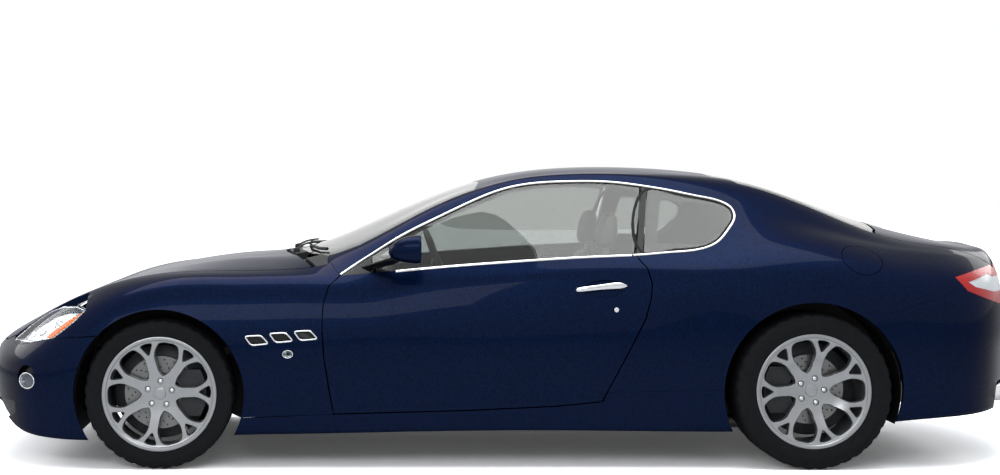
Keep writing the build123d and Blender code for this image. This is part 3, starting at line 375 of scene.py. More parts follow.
def lamp(name, size, power, place, target):
    """A rectangular soft box that faces a target."""
    data = bpy.data.lights.new(name, "AREA")
    data.shape, data.size, data.size_y, data.energy = "RECTANGLE", size[0], size[1], power
    thing = bpy.data.objects.new(name, data)
    thing.location = place
    thing.rotation_euler = (Vector(target) - Vector(place)).to_track_quat("-Z", "Y").to_euler()
    bpy.context.scene.collection.objects.link(thing)


lamp("overhead_softbox", (7.0, 3.2), 300, (-0.4, -0.6, 5.2), (0, 0, 0.5))
lamp("near_softbox", (6.0, 2.0), 150, (-2.5, -7.5, 3.6), (0, 0, 0.6))
lamp("rear_softbox", (4.0, 2.5), 120, (6.5, 3.5, 3.5), (0, 0, 0.6))
lamp("front_softbox", (4.0, 2.5), 120, (-6.5, 3.0, 3.5), (0, 0, 0.6))

world = bpy.data.worlds.new("pale_studio")
bpy.context.scene.world = world
world.use_nodes = True
tree = world.node_tree
tree.nodes.clear()
ray = add(tree, "ShaderNodeLightPath")
direct = add(
    tree, "ShaderNodeMath", [(0, ray.outputs["Is Camera Ray"]), (1, ray.outputs["Is Transmission Ray"])],
    operation="MAXIMUM"
)
seen = add(
    tree, "ShaderNodeMath", [(0, direct.outputs[0]), (1, ray.outputs["Is Glossy Ray"])], operation="MAXIMUM"
)
plain = add(tree, "ShaderNodeBackground", Color=linear("#e9edf2"), Strength=0.55)
white = add(tree, "ShaderNodeBackground", Color=linear("#ffffff"), Strength=1.0)
mixed = add(
    tree, "ShaderNodeMixShader", [(0, seen.outputs[0]), (1, plain.outputs[0]), (2, white.outputs[0])]
)
add(tree, "ShaderNodeOutputWorld", [(0, mixed.outputs[0])])

floor_material, tree, shader = start_material("pale_painted_floor", Roughness=0.75)
grit = add(tree, "ShaderNodeTexNoise", Scale=60.0, Detail=4.0)
two_tones(tree, shader, grit.outputs[0], "#dfe0df", "#e6e7e6")
# Seen directly or in glass the floor is lifted to white, more so away from the car, and the shadow stays.
ray = add(tree, "ShaderNodeLightPath")
direct = add(
    tree, "ShaderNodeMath", [(0, ray.outputs["Is Camera Ray"]), (1, ray.outputs["Is Transmission Ray"])],
    operation="MAXIMUM"
)
coordinates = add(tree, "ShaderNodeTexCoord")
away = add(tree, "ShaderNodeVectorMath", [(0, coordinates.outputs["Object"])], operation="LENGTH")
lift = add(
    tree, "ShaderNodeMapRange", [("Value", away.outputs["Value"])], From_Min=2.6, From_Max=5.5, To_Min=0.05,
    To_Max=0.75
)
glow = add(tree, "ShaderNodeEmission", [("Strength", lift.outputs[0])])
bright = add(tree, "ShaderNodeBsdfDiffuse", Color=(1.9, 1.9, 1.9, 1.0))
lifted = add(tree, "ShaderNodeAddShader", [(0, bright.outputs[0]), (1, glow.outputs[0])])
choice = add(
    tree, "ShaderNodeMixShader", [(0, direct.outputs[0]), (1, shader.outputs[0]), (2, lifted.outputs[0])]
)
tree.links.new(choice.outputs[0], tree.nodes["Material Output"].inputs["Surface"])

bm = bmesh.new()
bmesh.ops.create_grid(bm, x_segments=4, y_segments=4, size=40)
mesh = bpy.data.meshes.new("studio_floor")
bm.to_mesh(mesh)
bm.free()
mesh.materials.append(floor_material)
studio_floor = bpy.data.objects.new("studio_floor", mesh)
bpy.context.scene.collection.objects.link(studio_floor)

# %% [markdown]
# ## Paint
# The body wears basecoat and clearcoat: fine aluminium flake in deep blue under a thick clear
# lacquer. The flake is drawn far coarser than life so that it shows at all.

# %% Metallic paint
paint, tree, shader = start_material(
    "navy_metallic_basecoat_clearcoat", Metallic=0.6, Roughness=0.34, Coat_Weight=0.4, Coat_Roughness=0.02,
    Coat_IOR=1.2, Specular_IOR_Level=0.05, Specular_Tint=linear("#3c4f86")
)
flake_size = 2.5  # mm; real flake is about 0.05 mm
flakes = add(tree, "ShaderNodeTexVoronoi", Scale=1000 / flake_size)
in_object_space(tree, flakes)
spread = add(tree, "ShaderNodeSeparateColor", [(0, flakes.outputs["Color"])])
two_tones(tree, shader, spread.outputs[0], "#030a19", "#091a3c")
print("paint flakes per metre", 1000 / flake_size)

primer, tree, shader = start_material("black_sprayed_underseal", Roughness=0.8)
grain = add(tree, "ShaderNodeTexNoise", Scale=900.0, Detail=3.0)
relief(tree, shader, grain.outputs[0], 0.4, 0.0004)
shader.inputs["Base Color"].default_value = linear("#1b1c1e")

# %% [markdown]
# ## Panels
# Real panels are pressed from sheet and meet at shut lines of a few millimetres. Here one thick
# shell, outer skin less inner skin, is cut by prisms whose outlines are the shut lines. The
# Boolean modifier does the cutting, and the normals of the uncut skin are laid back on the
# pieces, so reflections run from panel to panel without a break.

# %% Closed hulls, prisms and the cutter
FAR = 3000.0


def closed_mesh(name, grid):
    """A grid of points closed round the bottom and at both ends."""
    rows, columns = grid.shape[:2]
    index = np.arange(rows * columns).reshape(rows, columns)
    a, b = index[:-1], index[1:]
    faces = np.stack([a, np.roll(a, -1, 1), np.roll(b, -1, 1), b], axis=2).reshape(-1, 4)
    caps = [list(index[0])[::-1], list(index[-1])]
    mesh = bpy.data.meshes.new(name)
    mesh.from_pydata(
        (grid.reshape(-1, 3) * MM).tolist(), [], faces.tolist() + [list(map(int, c)) for c in caps]
    )
    return faced_outwards(mesh)


def prism(outline, low, high, place):
    """A prism on an outline of (u, v) in millimetres; place turns (u, v, height) into a point."""
    count = len(outline)
    points = [place(u, v, low) for u, v in outline] + [place(u, v, high) for u, v in outline]
    faces = [list(range(count))[::-1], [count + i for i in range(count)]]
    faces += [[i, (i + 1) % count, count + (i + 1) % count, count + i] for i in range(count)]
    return as_mesh("prism", points, faces, triangles=True)


def side_prism(points, near=-1.0, far=FAR):
    """A prism across the car from an outline drawn in side view."""
    return prism(points, near, far, lambda x, z, y: (x, y, z))


def plan_prism(points, low=-FAR, high=FAR):
    """A prism upright through the car from half an outline drawn in plan, mirrored to both sides."""
    whole = [(x, max(y, 0.0)) for x, y in points]
    flipped = [(x, -y) for x, y in whole[::-1] if y > 0]
    return prism(whole + flipped, low, high, lambda x, y, z: (x, y, z))


def nose_prism(points, low=-2600.0, high=-2200.0):
    """A prism along the car from half an outline drawn from the front, mirrored to both sides."""
    whole = [(y, z) for y, z in points]
    flipped = [(-y, z) for y, z in whole[::-1]]
    return prism(whole + flipped, low, high, lambda y, z, x: (x, y, z))


def grown(points, gap):
    """An outline moved outwards by a gap, its corners kept sharp."""
    p = np.array(points, float)
    turn = np.sum(p[:, 0] * np.roll(p[:, 1], -1) - np.roll(p[:, 0], -1) * p[:, 1])
    edge = np.roll(p, -1, 0) - p
    edge /= np.linalg.norm(edge, axis=1, keepdims=True)
    out = np.stack([edge[:, 1], -edge[:, 0]], axis=1) * (1 if turn > 0 else -1)
    before = np.roll(out, 1, 0)
    corner = before + out
    corner *= gap / np.maximum(np.sum(corner * out, axis=1, keepdims=True), 0.25)
    return [tuple(q) for q in p + corner]


def temporary(mesh):
    """An object that only serves the cutter."""
    thing = bpy.data.objects.new("tool", mesh)
    bpy.context.scene.collection.objects.link(thing)
    thing.hide_render = True
    return thing


def carve(base, keep=(), drop=()):
    """The base mesh kept inside some meshes and outside others, as a new mesh."""
    thing = temporary(base.copy())
    tools = []
    for meshes, operation in ((keep, "INTERSECT"), (drop, "DIFFERENCE")):
        for mesh in meshes:
            tools.append(temporary(mesh))
            modifier = thing.modifiers.new("cut", "BOOLEAN")
            modifier.operation, modifier.solver, modifier.object = operation, "MANIFOLD", tools[-1]
    view = bpy.context.evaluated_depsgraph_get()
    made = bpy.data.meshes.new_from_object(thing.evaluated_get(view))
    for other in [thing] + tools:
        bpy.data.objects.remove(other)
    return made


def mirrored(mesh):
    """The mesh reflected to the left side."""
    made = mesh.copy()
    made.transform(Matrix.Scale(-1, 4, (0, 1, 0)))
    made.flip_normals()
    return made


outer_hull = closed_mesh("outer_hull", outer)
inner_hull = closed_mesh("inner_hull", hull_grid(None, 45.0, 160, 91))
outer_hull.materials.append(paint)
inner_hull.materials.append(primer)
print("outer hull faces", len(outer_hull.polygons))

# %% [markdown]
# ## Shut lines
# The outlines below are the shut lines of each panel, in side view for what opens sideways and
# in plan for what opens upwards. They are the CAD source's own, so each dressed panel covers
# its node.

# %% Outlines of the panels, in millimetres
SHUT_GAP, SEAM_GAP = 6.0, 0.6
BELT = [(-750, 866), (-500, 889), (-299, 908), (50, 934), (311, 951), (580, 963)]
DOOR_FRONT = [(-786, 284), (-801, 367), (-823, 502), (-830, 613), (-830, 689), (-825, 747), (-802, 820)]
DOOR_REAR = [(439, 333), (558, 559), (618, 678), (645, 773), (650, 832), (632, 901)]
DOOR_BOTTOM = [(422, 306), (215, 285), (-212, 265), (-780, 250)]
DOOR = BELT + DOOR_REAR[::-1] + DOOR_BOTTOM + DOOR_FRONT
WINDOW_TOP = [
    (-492, 1027), (-330, 1109), (-201, 1170), (21, 1258), (156, 1280), (291, 1287), (514, 1284), (638, 1270)
]
SAIL = [(-750, 866.4), (-612, 879.0), (-612, 952)]
DOOR_GLASS = [(-606, 879.6)] + BELT[1:] + WINDOW_TOP[::-1] + [(-606, 955)]
PILLAR = [(592, 965), (648, 1267), (672, 1261), (622, 970)]
QUARTER_GLASS = [
    (626, 970), (676, 1260), (779, 1246), (909, 1219), (1020, 1191), (1053, 1166),
    (1059, 1139), (1026, 1087), (966, 1027), (881, 994), (746, 980),
]
GLAZED = BELT + [(746, 980), (881, 994), (966, 1027), (1026, 1087), (1059, 1139), (1053, 1166),
                 (1020, 1191), (909, 1219), (779, 1246)] + WINDOW_TOP[::-1]
LAMP_LOW = [(-2291, 548), (-2170, 556), (-2055, 582)]
HEADLAMP = LAMP_LOW + [(-1960, 655), (-1907, 709), (-1955, 722), (-2031, 716), (-2100, 690), (-2190, 634)]
TAIL_LAMP = [
    (2034, 861), (2160, 889), (2279, 908), (2420, 915), (2420, 722), (2295, 730), (2190, 762), (2087, 799)
]
SILL_TOP = [(-780, 246), (-212, 261), (215, 281), (422, 302), (445, 345), (1100, 359)]
BUMPER_SEAM = [(1560, 662), (1990, 786), (2087, 799)]
# Drawn x and half width, seen from above.
HOOD_REAR = [(-885, 738), (-935, 600), (-985, 400), (-1020, 200), (-1032, 0)]
HOOD = [
    (-2390, 0), (-2385, 150), (-2372, 280), (-2345, 380), (-2290, 470), (-2180, 545), (-2040, 625),
    (-1930, 690), (-1800, 722), (-1567, 738), (-1000, 742),
] + HOOD_REAR
COWL_GAP = 20.0  # the hood swings back a little over the cowl as it opens
SCREEN_LOW = [(-955, 0), (-940, 250), (-895, 480), (-812, 655)]
SCREEN_TOP = [(-128, 572), (-112, 450), (-88, 250), (-80, 0)]
SCREEN = SCREEN_LOW + [(-663, 668), (-363, 618)] + SCREEN_TOP
COWL = [(x + COWL_GAP, min(y, 736.5)) for x, y in HOOD_REAR[::-1]] + [
    (-812, 735), (-812, 655), (-895, 480), (-940, 250), (-955, 0)
]
REAR_WINDOW_TOP = [(1010, 0), (1022, 250), (1062, 430), (1112, 524)]
REAR_WINDOW_LOW = [(1725, 595), (1762, 480), (1792, 250), (1802, 0)]
REAR_WINDOW = REAR_WINDOW_TOP + [(1236, 531), (1450, 551)] + REAR_WINDOW_LOW
ROOF = SCREEN_TOP[::-1] + [(-63, 560), (236, 542), (636, 540), (936, 540)] + REAR_WINDOW_TOP[::-1]
BOOT = [
    (1815, 0), (1805, 250), (1775, 480), (1739, 598), (1850, 606), (2240, 604), (2290, 580), (2310, 500),
    (2500, 490), (2500, 0)
]
GRILLE = [
    (-50, 256), (230, 256), (296, 270), (334, 306), (346, 352), (334, 398), (296, 434), (230, 448),
    (-50, 448)
]


def rounded(points, radius, steps=5):
    """An outline with its corners turned into arcs of about the given radius."""
    p = np.array(points, float)
    made = []
    for i in range(len(p)):
        before, here, after = p[i - 1], p[i], p[(i + 1) % len(p)]
        a, b = before - here, after - here
        reach = min(radius, 0.45 * np.linalg.norm(a), 0.45 * np.linalg.norm(b))
        a, b = a / np.linalg.norm(a), b / np.linalg.norm(b)
        if np.dot(a, b) < -0.985:
            made.append(tuple(here))
            continue
        start, end = here + a * reach, here + b * reach
        for t in np.linspace(0, 1, steps):
            bend = (1 - t) ** 2 * start + 2 * t * (1 - t) * here + t * t * end
            made.append(tuple(bend))
    return made


above_hood = side_prism(
    [(-2600, 485), (-2300, 500), (-2100, 600), (-1800, 700), (-700, 750), (-700, 1400), (-2600, 1400)], -FAR
)
above_boot = side_prism(
    [(1600, 800), (2200, 690), (2387, 672), (2600, 668), (2600, 1400), (1600, 1400)], -FAR
)


def moved(mesh, x=0.0, y=0.0, z=0.0):
    """A copy of a mesh moved by millimetres."""
    made = mesh.copy()
    made.transform(Matrix.Translation((x * MM, y * MM, z * MM)))
    return made


def wheel_well(x, z, radius, segments=96):
    """A round prism across the car for a wheel arch."""
    turn = [2 * math.pi * k / segments for k in range(segments)]
    return side_prism([(x + radius * math.cos(t), z + radius * math.sin(t)) for t in turn], -FAR)


FRONT_TYRE, REAR_TYRE = 337.0, 351.0  # radius, and so the height of the axle
FRONT_OPENING, REAR_OPENING = 383.0, 401.0  # radius of the wheel arch
front_arch = wheel_well(FRONT_AXLE, FRONT_TYRE, FRONT_OPENING)
rear_arch = wheel_well(REAR_AXLE, REAR_TYRE, REAR_OPENING)
hood_room = carve(plan_prism(grown(HOOD, SHUT_GAP)), [moved(above_hood, z=-SHUT_GAP)])
boot_room = carve(plan_prism(grown(BOOT, SHUT_GAP)), [moved(above_boot, z=-SHUT_GAP)])
screen_room = plan_prism(grown(SCREEN, SEAM_GAP))
rear_window_room = plan_prism(grown(REAR_WINDOW, SEAM_GAP))
door_room = side_prism(grown(DOOR, SHUT_GAP))
cowl_room = carve(plan_prism(grown(HOOD_REAR[::-1] + COWL[len(HOOD_REAR):], SEAM_GAP)), [above_hood])
print("shut lines ready")

# %% Cut the panels out of the skin
skin_normals = [v.normal.copy() for v in outer_hull.vertices]
skin_tree = BVHTree.FromPolygons(
    [v.co[:] for v in outer_hull.vertices], [p.vertices[:] for p in outer_hull.polygons]
)


def skin_normal(point):
    """Smooth normal of the uncut skin at the nearest place."""
    _, _, face, _ = skin_tree.find_nearest(point)
    corners = outer_hull.polygons[face].vertices
    if len(corners) > 4:
        return outer_hull.polygons[face].normal
    weights = [1.0 / max((outer_hull.vertices[v].co - point).length, 1e-7) for v in corners]
    return sum((skin_normals[v] * w for v, w in zip(corners, weights)), Vector()).normalized()


def panel(name, keep, drop, body, stands_for=()):
    """A painted panel: the shell inside the prisms, with the smooth skin's normals on its outer face."""
    mesh = carve(outer_hull, keep, [inner_hull] + list(drop))
    thing = dress_mesh(name, mesh, [paint, primer], body, smooth=35)
    lay_skin_normals(mesh)
    if stands_for:
        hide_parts(*stands_for)
    print(name, len(mesh.polygons), "faces")
    return thing


SKIN_REACH = 0.0004  # metres between a face that lies on the skin and the skin itself
SAME_WAY = 0.9  # least cosine between its normal and the skin's


def lay_skin_normals(mesh):
    """Outer faces take the uncut skin's normals; the cut faces and the inside keep their own."""
    normals = [v.vector.copy() for v in mesh.corner_normals]
    found = {}
    for polygon in mesh.polygons:
        middle = polygon.center
        distance = skin_tree.find_nearest(middle)[3]
        if distance > SKIN_REACH or abs(polygon.normal.dot(skin_normal(middle))) < SAME_WAY:
            continue
        for loop in polygon.loop_indices:
            vertex = mesh.loops[loop].vertex_index
            if vertex not in found:
                found[vertex] = skin_normal(mesh.vertices[vertex].co)
            normals[loop] = found[vertex]
    mesh.normals_split_custom_set(normals)


def pair_of_panels(name, node, keep, drop, body, left_drop=()):
    """The right panel and its mirror image on the left, where more may be cut away."""
    stands_for = [node.replace("SIDE", "right")] if node else ()
    right = panel(name + "_right", keep, drop, body.replace("SIDE", "right"), stands_for)
    mesh = mirrored(right.data)
    if left_drop:
        mesh = carve(mesh, (), left_drop)
    left = dress_mesh(
        name + "_left", mesh, list(right.data.materials), body.replace("SIDE", "left"), smooth=35
    )
    lay_skin_normals(mesh)
    if node and "SIDE" in node:
        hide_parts(node.replace("SIDE", "left"))
    return right, left


def ellipse(x, z, half_long, half_high, lean=0.0, count=40):
    """An ellipse in side view, leaning by some degrees."""
    made = []
    for t in circle(count):
        a, b, c = half_long * math.cos(t), half_high * math.sin(t), math.radians(lean)
        made.append((x + a * math.cos(c) - b * math.sin(c), z + a * math.sin(c) + b * math.cos(c)))
    return made


VENTS = [rounded([(x - 54, z + 20), (x + 20, z + 23.5), (x + 54, z - 13), (x - 24, z - 20)], 13, 5)
         for x, z in ((-1127, 580), (-1017, 592), (-907, 601))]
HANDLE_CUP = ellipse(435, 810, 92, 40, 4)
FOG_LAMP = ellipse(-2182, 402, 46, 56, 0)
CORNER_INTAKE = rounded([(492, 196), (640, 206), (716, 226), (728, 288), (492, 284)], 14, 4)
FLAP_CENTRE = Vector((1609.0, -848.9, 943.0)) * MM
FLAP_OUT = Vector((0.143, -0.642, 0.759)).normalized()
flap_turn = FLAP_OUT.to_track_quat("Z", "X").to_matrix().to_4x4()


def flap_disc(radius, low=-40.0, high=25.0, count=72):
    """A round cutter square to the haunch, on the flap's middle."""
    ring = [(radius * math.cos(t), radius * math.sin(t)) for t in circle(count)]
    mesh = prism(ring, low, high, lambda u, v, h: (u, v, h))
    mesh.transform(Matrix.Translation(FLAP_CENTRE) @ flap_turn)
    return mesh


def corner_block(points, far=-2080.0):
    """A prism along the car from an outline drawn from the front, on the right side only."""
    return prism(points, -2600.0, far, lambda y, z, x: (x, y, z))


MOUTH = [(y, z) for y, z in GRILLE if y > 0]
MOUTH = rounded([(0, 256)] + MOUTH + [(0, 448)], 60, 5)
MOUTH = [(y, z) for y, z in MOUTH if y > 0.5]
front_mouth = nose_prism(MOUTH)
intake_room, fog_room = corner_block(CORNER_INTAKE), side_prism(FOG_LAMP, 300)
bumper_outline = [(-2600, -200), (-2600, 760), (-2310, 760)] + LAMP_LOW + [(-1780, 603), (-1780, -200)]
bumper_rooms = [
    hood_room, front_arch, front_mouth, intake_room, mirrored(intake_room), fog_room, mirrored(fog_room)
]
panel("front_bumper_skin", [side_prism(bumper_outline, -FAR)], bumper_rooms, "car", ["front_bumper"])
panel("hood_skin", [plan_prism(HOOD), above_hood], [], "hood", ["hood"])


# %% The other panels
lamp_room = side_prism(grown(HEADLAMP, SEAM_GAP), -FAR)
tail_lamp_room = side_prism(grown(TAIL_LAMP, SEAM_GAP), 480 - SEAM_GAP)
fender_outline = [(x, z + 1.0) for x, z in LAMP_LOW[2:]]
fender_outline += [(-1830, 605), (-1567, 420), (-1205, 232), (-784, 247)]
fender_outline += [(x - SHUT_GAP, z) for x, z in DOOR_FRONT]
fender_outline += [(-756, 868), (-812, 938), (-830, 1100), (-1907, 1100), (-1907, 709), (-1960, 655)]
pair_of_panels(
    "front_wing_skin", "fender_SIDE", [side_prism(fender_outline)],
    [hood_room, cowl_room, screen_room, lamp_room, front_arch] + [side_prism(v) for v in VENTS], "car"
)
doors = pair_of_panels("door_skin", "door_SIDE", [side_prism(DOOR)], [side_prism(HANDLE_CUP)], "door_SIDE")
roof_skin = panel("roof_skin", [plan_prism(ROOF, 900)], [], "car", ["roof"])
panel("boot_lid_skin", [plan_prism(BOOT), above_boot], [], "boot_lid", ["boot_lid"])
roof_room = plan_prism(grown(ROOF, SEAM_GAP))
deck_seam = plan_prism(
    [(x - 4, y) for x, y in REAR_WINDOW_LOW] + [(x + SHUT_GAP + 4, y) for x, y in REAR_WINDOW_LOW[::-1]]
)
side_outline = [
    (-750, 867), (-811, 939), (-830, 1500), (2700, 1500), (2700, 700), (2087, 799), (1990, 787), (1560, 663),
    (1374, 500), (1100, 360), (446, 346), (440, 300), (-700, 700)
]
body_sides = pair_of_panels(
    "body_side_skin", "body_side_SIDE", [side_prism(side_outline)],
    [
        door_room, side_prism(GLAZED), side_prism(grown(DOOR_GLASS, SHUT_GAP + 3)), screen_room, roof_room,
        rear_window_room, deck_seam, boot_room, tail_lamp_room, rear_arch
    ],
    "car", left_drop=[flap_disc(95.0)]
)
PIPE_ROOM = 206  # width of the opening round a pair of tail pipes
pipe_rooms = []
for y in (462, -668):
    ring = [(2150, y), (2600, y), (2600, y + PIPE_ROOM), (2150, y + PIPE_ROOM)]
    pipe_rooms.append(prism(ring, 100, 372, lambda x, y, z: (x, y, z)))
bumper_outline = [(1560, -200)] + BUMPER_SEAM + [(2600, 700), (2600, -200)]
bumper_rooms = [boot_room, tail_lamp_room, mirrored(tail_lamp_room), rear_arch] + pipe_rooms
panel("rear_bumper_skin", [side_prism(bumper_outline, -FAR)], bumper_rooms, "car", ["rear_bumper"])
sill_outline = [(-1290, -200), (-1290, 190), (-1205, 228)] + SILL_TOP + [(1100, -200)]
sills = pair_of_panels(
    "sill_skin", None, [side_prism(sill_outline)], [front_arch, rear_arch, door_room], "car"
)
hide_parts("sills")


# %% [markdown]
# ## Glass
# Car glass is float glass bent over a mould. It is a thin sheet that follows the body a little
# under the skin, with a ceramic black band fired on round its edge. The glass here is a thin
# slice of the same hull. The black band of a side window is a second slice just behind it.

# %% Glass materials
car_glass, tree, shader = start_material(
    "tempered_tinted_glass", Roughness=0.0, IOR=1.45, Transmission_Weight=1.0
)
shader.inputs["Base Color"].default_value = linear("#a9aeab")
ceramic_band = mottled("fired_black_ceramic_band", 700.0, "#0c0d0e", "#141516", Roughness=0.25)
rubber_seal = mottled(
    "extruded_black_rubber_seal", 400.0, "#0f1011", "#17181a", Roughness=0.55, Specular_IOR_Level=0.15
)

# %% Cut the windows
glass_outer = closed_mesh("glass_outer", hull_grid(2.0, 6.0, 260, 161))
glass_inner = closed_mesh("glass_inner", hull_grid(6.5, 12.0, 260, 161))
for mesh in (glass_outer, glass_inner):
    mesh.materials.append(car_glass)


def window(name, prism_inside, body, node):
    """A pane: the thin slice of glass inside a prism."""
    mesh = one_material(carve(glass_outer, [prism_inside], [glass_inner]))
    thing = dress_mesh(name, mesh, car_glass, body, smooth=30)
    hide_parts(node)


def side_span(sign):
    """From where to where a prism runs across the car so that it cuts one side only."""
    return (-1.0, FAR) if sign > 0 else (-FAR, 1.0)


window("windscreen_pane", plan_prism(SCREEN, 700), "car", "windscreen")
window("rear_window_pane", plan_prism(REAR_WINDOW, 700), "car", "rear_window")
for side, sign in SIDES:
    span = side_span(sign)
    window("door_pane_" + side, side_prism(DOOR_GLASS, *span), "door_" + side, "door_glass_" + side)
    window("quarter_pane_" + side, side_prism(QUARTER_GLASS, *span), "car", "quarter_glass")
print("panes cut")

# %% [markdown]
# ## Bright trim
# The line of bright metal round the side windows is a thin strip of stainless steel, rolled to a
# half-round section and polished. A strip like this is swept: a small section is carried along
# a path that lies on the skin, always square to it.

# %% Bright and black trim materials
polished_steel = mottled(
    "polished_stainless_strip", 35.0, "#d9dbde", "#eceded", detail=3.0, Metallic=1.0, Roughness=0.08
)
chrome = mottled(
    "chromium_plated_zinc", 40.0, "#c9cdd2", "#e3e5e8", detail=3.0, Metallic=1.0, Roughness=0.05
)
piano_black = mottled(
    "gloss_black_moulded_trim", 50.0, "#08090a", "#101113", Roughness=0.22, Coat_Weight=0.1,
    Coat_Roughness=0.04, Specular_IOR_Level=0.15
)

grained_plastic, tree, shader = start_material(
    "grained_black_moulded_plastic", Roughness=0.5, Specular_IOR_Level=0.2
)
grain_size = 1.2  # mm between the pits of the mould grain
pits = add(tree, "ShaderNodeTexVoronoi", Scale=1000 / grain_size)
relief(tree, shader, pits.outputs["Distance"], 0.35, 0.0003)
two_tones(tree, shader, pits.outputs["Distance"], "#131415", "#1d1e20")


# %% Paths on the skin and swept strips
def on_side(x, z, side=1):
    """Point and normal of the skin where it is seen from one side."""
    place = skin_tree.ray_cast(Vector((x * MM, side * 2.0, z * MM)), Vector((0, -side, 0)))[0]
    return place, skin_normal(place)


def on_top(x, y):
    """Point and normal of the skin seen from above."""
    place = skin_tree.ray_cast(Vector((x * MM, y * MM, 3.0)), Vector((0, 0, -1)))[0]
    return place, skin_normal(place)


def smooth_line(points, step=12.0, closed=False):
    """Evenly spaced places on a smooth curve through the points."""
    p = np.array(points, float)
    if closed:
        p = np.vstack([p[-3:], p, p[:3]])
    distance = np.concatenate([[0], np.cumsum(np.linalg.norm(np.diff(p, axis=0), axis=1))])
    first, last = (distance[3], distance[-3]) if closed else (0.0, distance[-1])
    count = max(int((last - first) / step), 4)
    return spline(distance, p, np.linspace(first, last, count, endpoint=not closed))


def sweep(name, path, normals, section, material, body, closed=False, smooth=50):
    """A section of (sideways, outwards) in millimetres carried along a path square to the normals."""
    path = [Vector(p) for p in path]
    count, around = len(path), len(section)
    points, faces = [], []
    for i, (p, n) in enumerate(zip(path, normals)):
        ahead = path[(i + 1) % count] if closed else path[min(i + 1, count - 1)]
        behind = path[i - 1] if closed or i else path[0]
        along = (ahead - behind).normalized()
        aside = along.cross(n).normalized()
        points += [p + aside * (a * MM) + n * (b * MM) for a, b in section]
    for i in range(count if closed else count - 1):
        j = (i + 1) % count
        faces += quads(i, j, around)
    if not closed:
        faces += [list(range(around)), [(count - 1) * around + k for k in range(around)][::-1]]
    thing = make_piece(name, points, faces, material, body, smooth)
    faced_outwards(thing.data)
    return thing


def half_round(width, height, sunk=2.0, steps=7):
    """A half-round section with its foot sunk under the skin."""
    arc = [(width / 2 * math.cos(t), height * math.sin(t)) for t in np.linspace(0, math.pi, steps)]
    return [(width / 2, -sunk)] + arc + [(-width / 2, -sunk)]


def strip_on_side(name, points, section, material, body, slot, side, closed=False, step=12.0):
    """A strip along a side-view line, on the skin of one side."""
    line = [on_side(x, z, side) for x, z in smooth_line(points, step, closed)]
    thing = sweep(name, [p for p, _ in line], [n for _, n in line], section, material, body, closed)


# %% Window surrounds
QUARTER_CLEAR = rounded(
    [(686, 1012), (730, 1208), (990, 1188), (1040, 1158), (1046, 1126), (1012, 1070), (942, 1006)], 18, 4
)
DOOR_CLEAR = [
    (-590, 872), (-590, 938), (-492, 1006), (-330, 1089), (-201, 1150), (21, 1238), (156, 1260), (291, 1267),
    (514, 1264), (618, 1250), (570, 940), (311, 928), (50, 911), (-299, 885), (-500, 866)
]
window_arch = [
    (-752, 871), (-700, 905), (-610, 961), (-492, 1034), (-330, 1116), (-201, 1177), (21, 1264), (156, 1287),
    (291, 1294), (514, 1291), (660, 1273), (779, 1253), (909, 1226), (1020, 1198), (1058, 1170),
    (1066, 1139), (1032, 1082), (970, 1021), (883, 987), (746, 973), (640, 964), (577, 960)
]
for side, sign in SIDES:
    bright = half_round(11, 4.5), polished_steel, "car", "bright_chrome", sign
    strip_on_side("window_arch_strip_" + side, window_arch, *bright)
    bright = half_round(12, 4.5), polished_steel, "door_" + side, "bright_chrome", sign
    belt_line = [(x, z - 3) for x, z in [(-500, 889)] + BELT[2:-1] + [(570, 962)]]
    strip_on_side("belt_strip_" + side, belt_line, *bright)
    post = carve(outer_hull, [side_prism(PILLAR, *side_span(sign))], [inner_hull])
    post = dress_mesh("door_post_cover_" + side, post, [piano_black, primer], "car", smooth=35)
    lay_skin_normals(post.data)
    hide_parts("pillar_trim")
    seal_line = [(x, z + 2) for x, z in [(-600, 961)] + WINDOW_TOP]
    seal = half_round(8, 1.0, 14), rubber_seal, "car", "black_plastic", sign
    strip_on_side("window_seal_" + side, seal_line, *seal)
    seal = half_round(13, 0.5, 9), rubber_seal, "car", "black_plastic", sign
    strip_on_side("quarter_seal_" + side, QUARTER_GLASS, *seal, closed=True, step=8.0)
WELL = [(-1000, 924), (-850, 924), (-850, 1200), (-1000, 1200)]
sunk = [prism(WELL, near, near + 205, lambda x, z, y: (x, y, z)) for near in (395.0, -600.0)]
cowl_mesh = carve(outer_hull, [plan_prism(COWL), above_hood], [inner_hull] + sunk)
cowl_cover = dress_mesh("cowl_cover", cowl_mesh, [grained_plastic, grained_plastic], "car", smooth=35)
lay_skin_normals(cowl_cover.data)
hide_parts("cowl")
print("window trim done")


# %% [markdown]
# ## Wheels
# The rims are gravity-cast aluminium, turned and then lacquered silver. Seven spokes run out from
# the hub and fork before they meet the rim. A dished disc is turned first, and then the windows
# are cut by flared cutters, which leaves a soft edge on every spoke as casting does.

# %% Cast wheel and rubber materials
cast_silver, tree, shader = start_material(
    "silver_lacquered_cast_aluminium", Metallic=0.85, Roughness=0.3, Coat_Weight=0.4, Coat_Roughness=0.12
)
grain_size = 3.0  # mm; the sparkle of the lacquer is finer, drawn coarse enough to show
grain = add(tree, "ShaderNodeTexNoise", Scale=1000 / grain_size, Detail=2.0)
two_tones(tree, shader, grain.outputs[0], "#85888c", "#a2a4a7")

tyre_rubber, tree, shader = start_material("vulcanised_tyre_rubber", Roughness=0.72, Specular_IOR_Level=0.08)
dust = add(tree, "ShaderNodeTexNoise", Scale=28.0, Detail=6.0)
two_tones(tree, shader, dust.outputs[0], "#0f1012", "#1c1d20")
fine = add(tree, "ShaderNodeTexNoise", Scale=600.0)
relief(tree, shader, fine.outputs[0], 0.25, 0.0003)

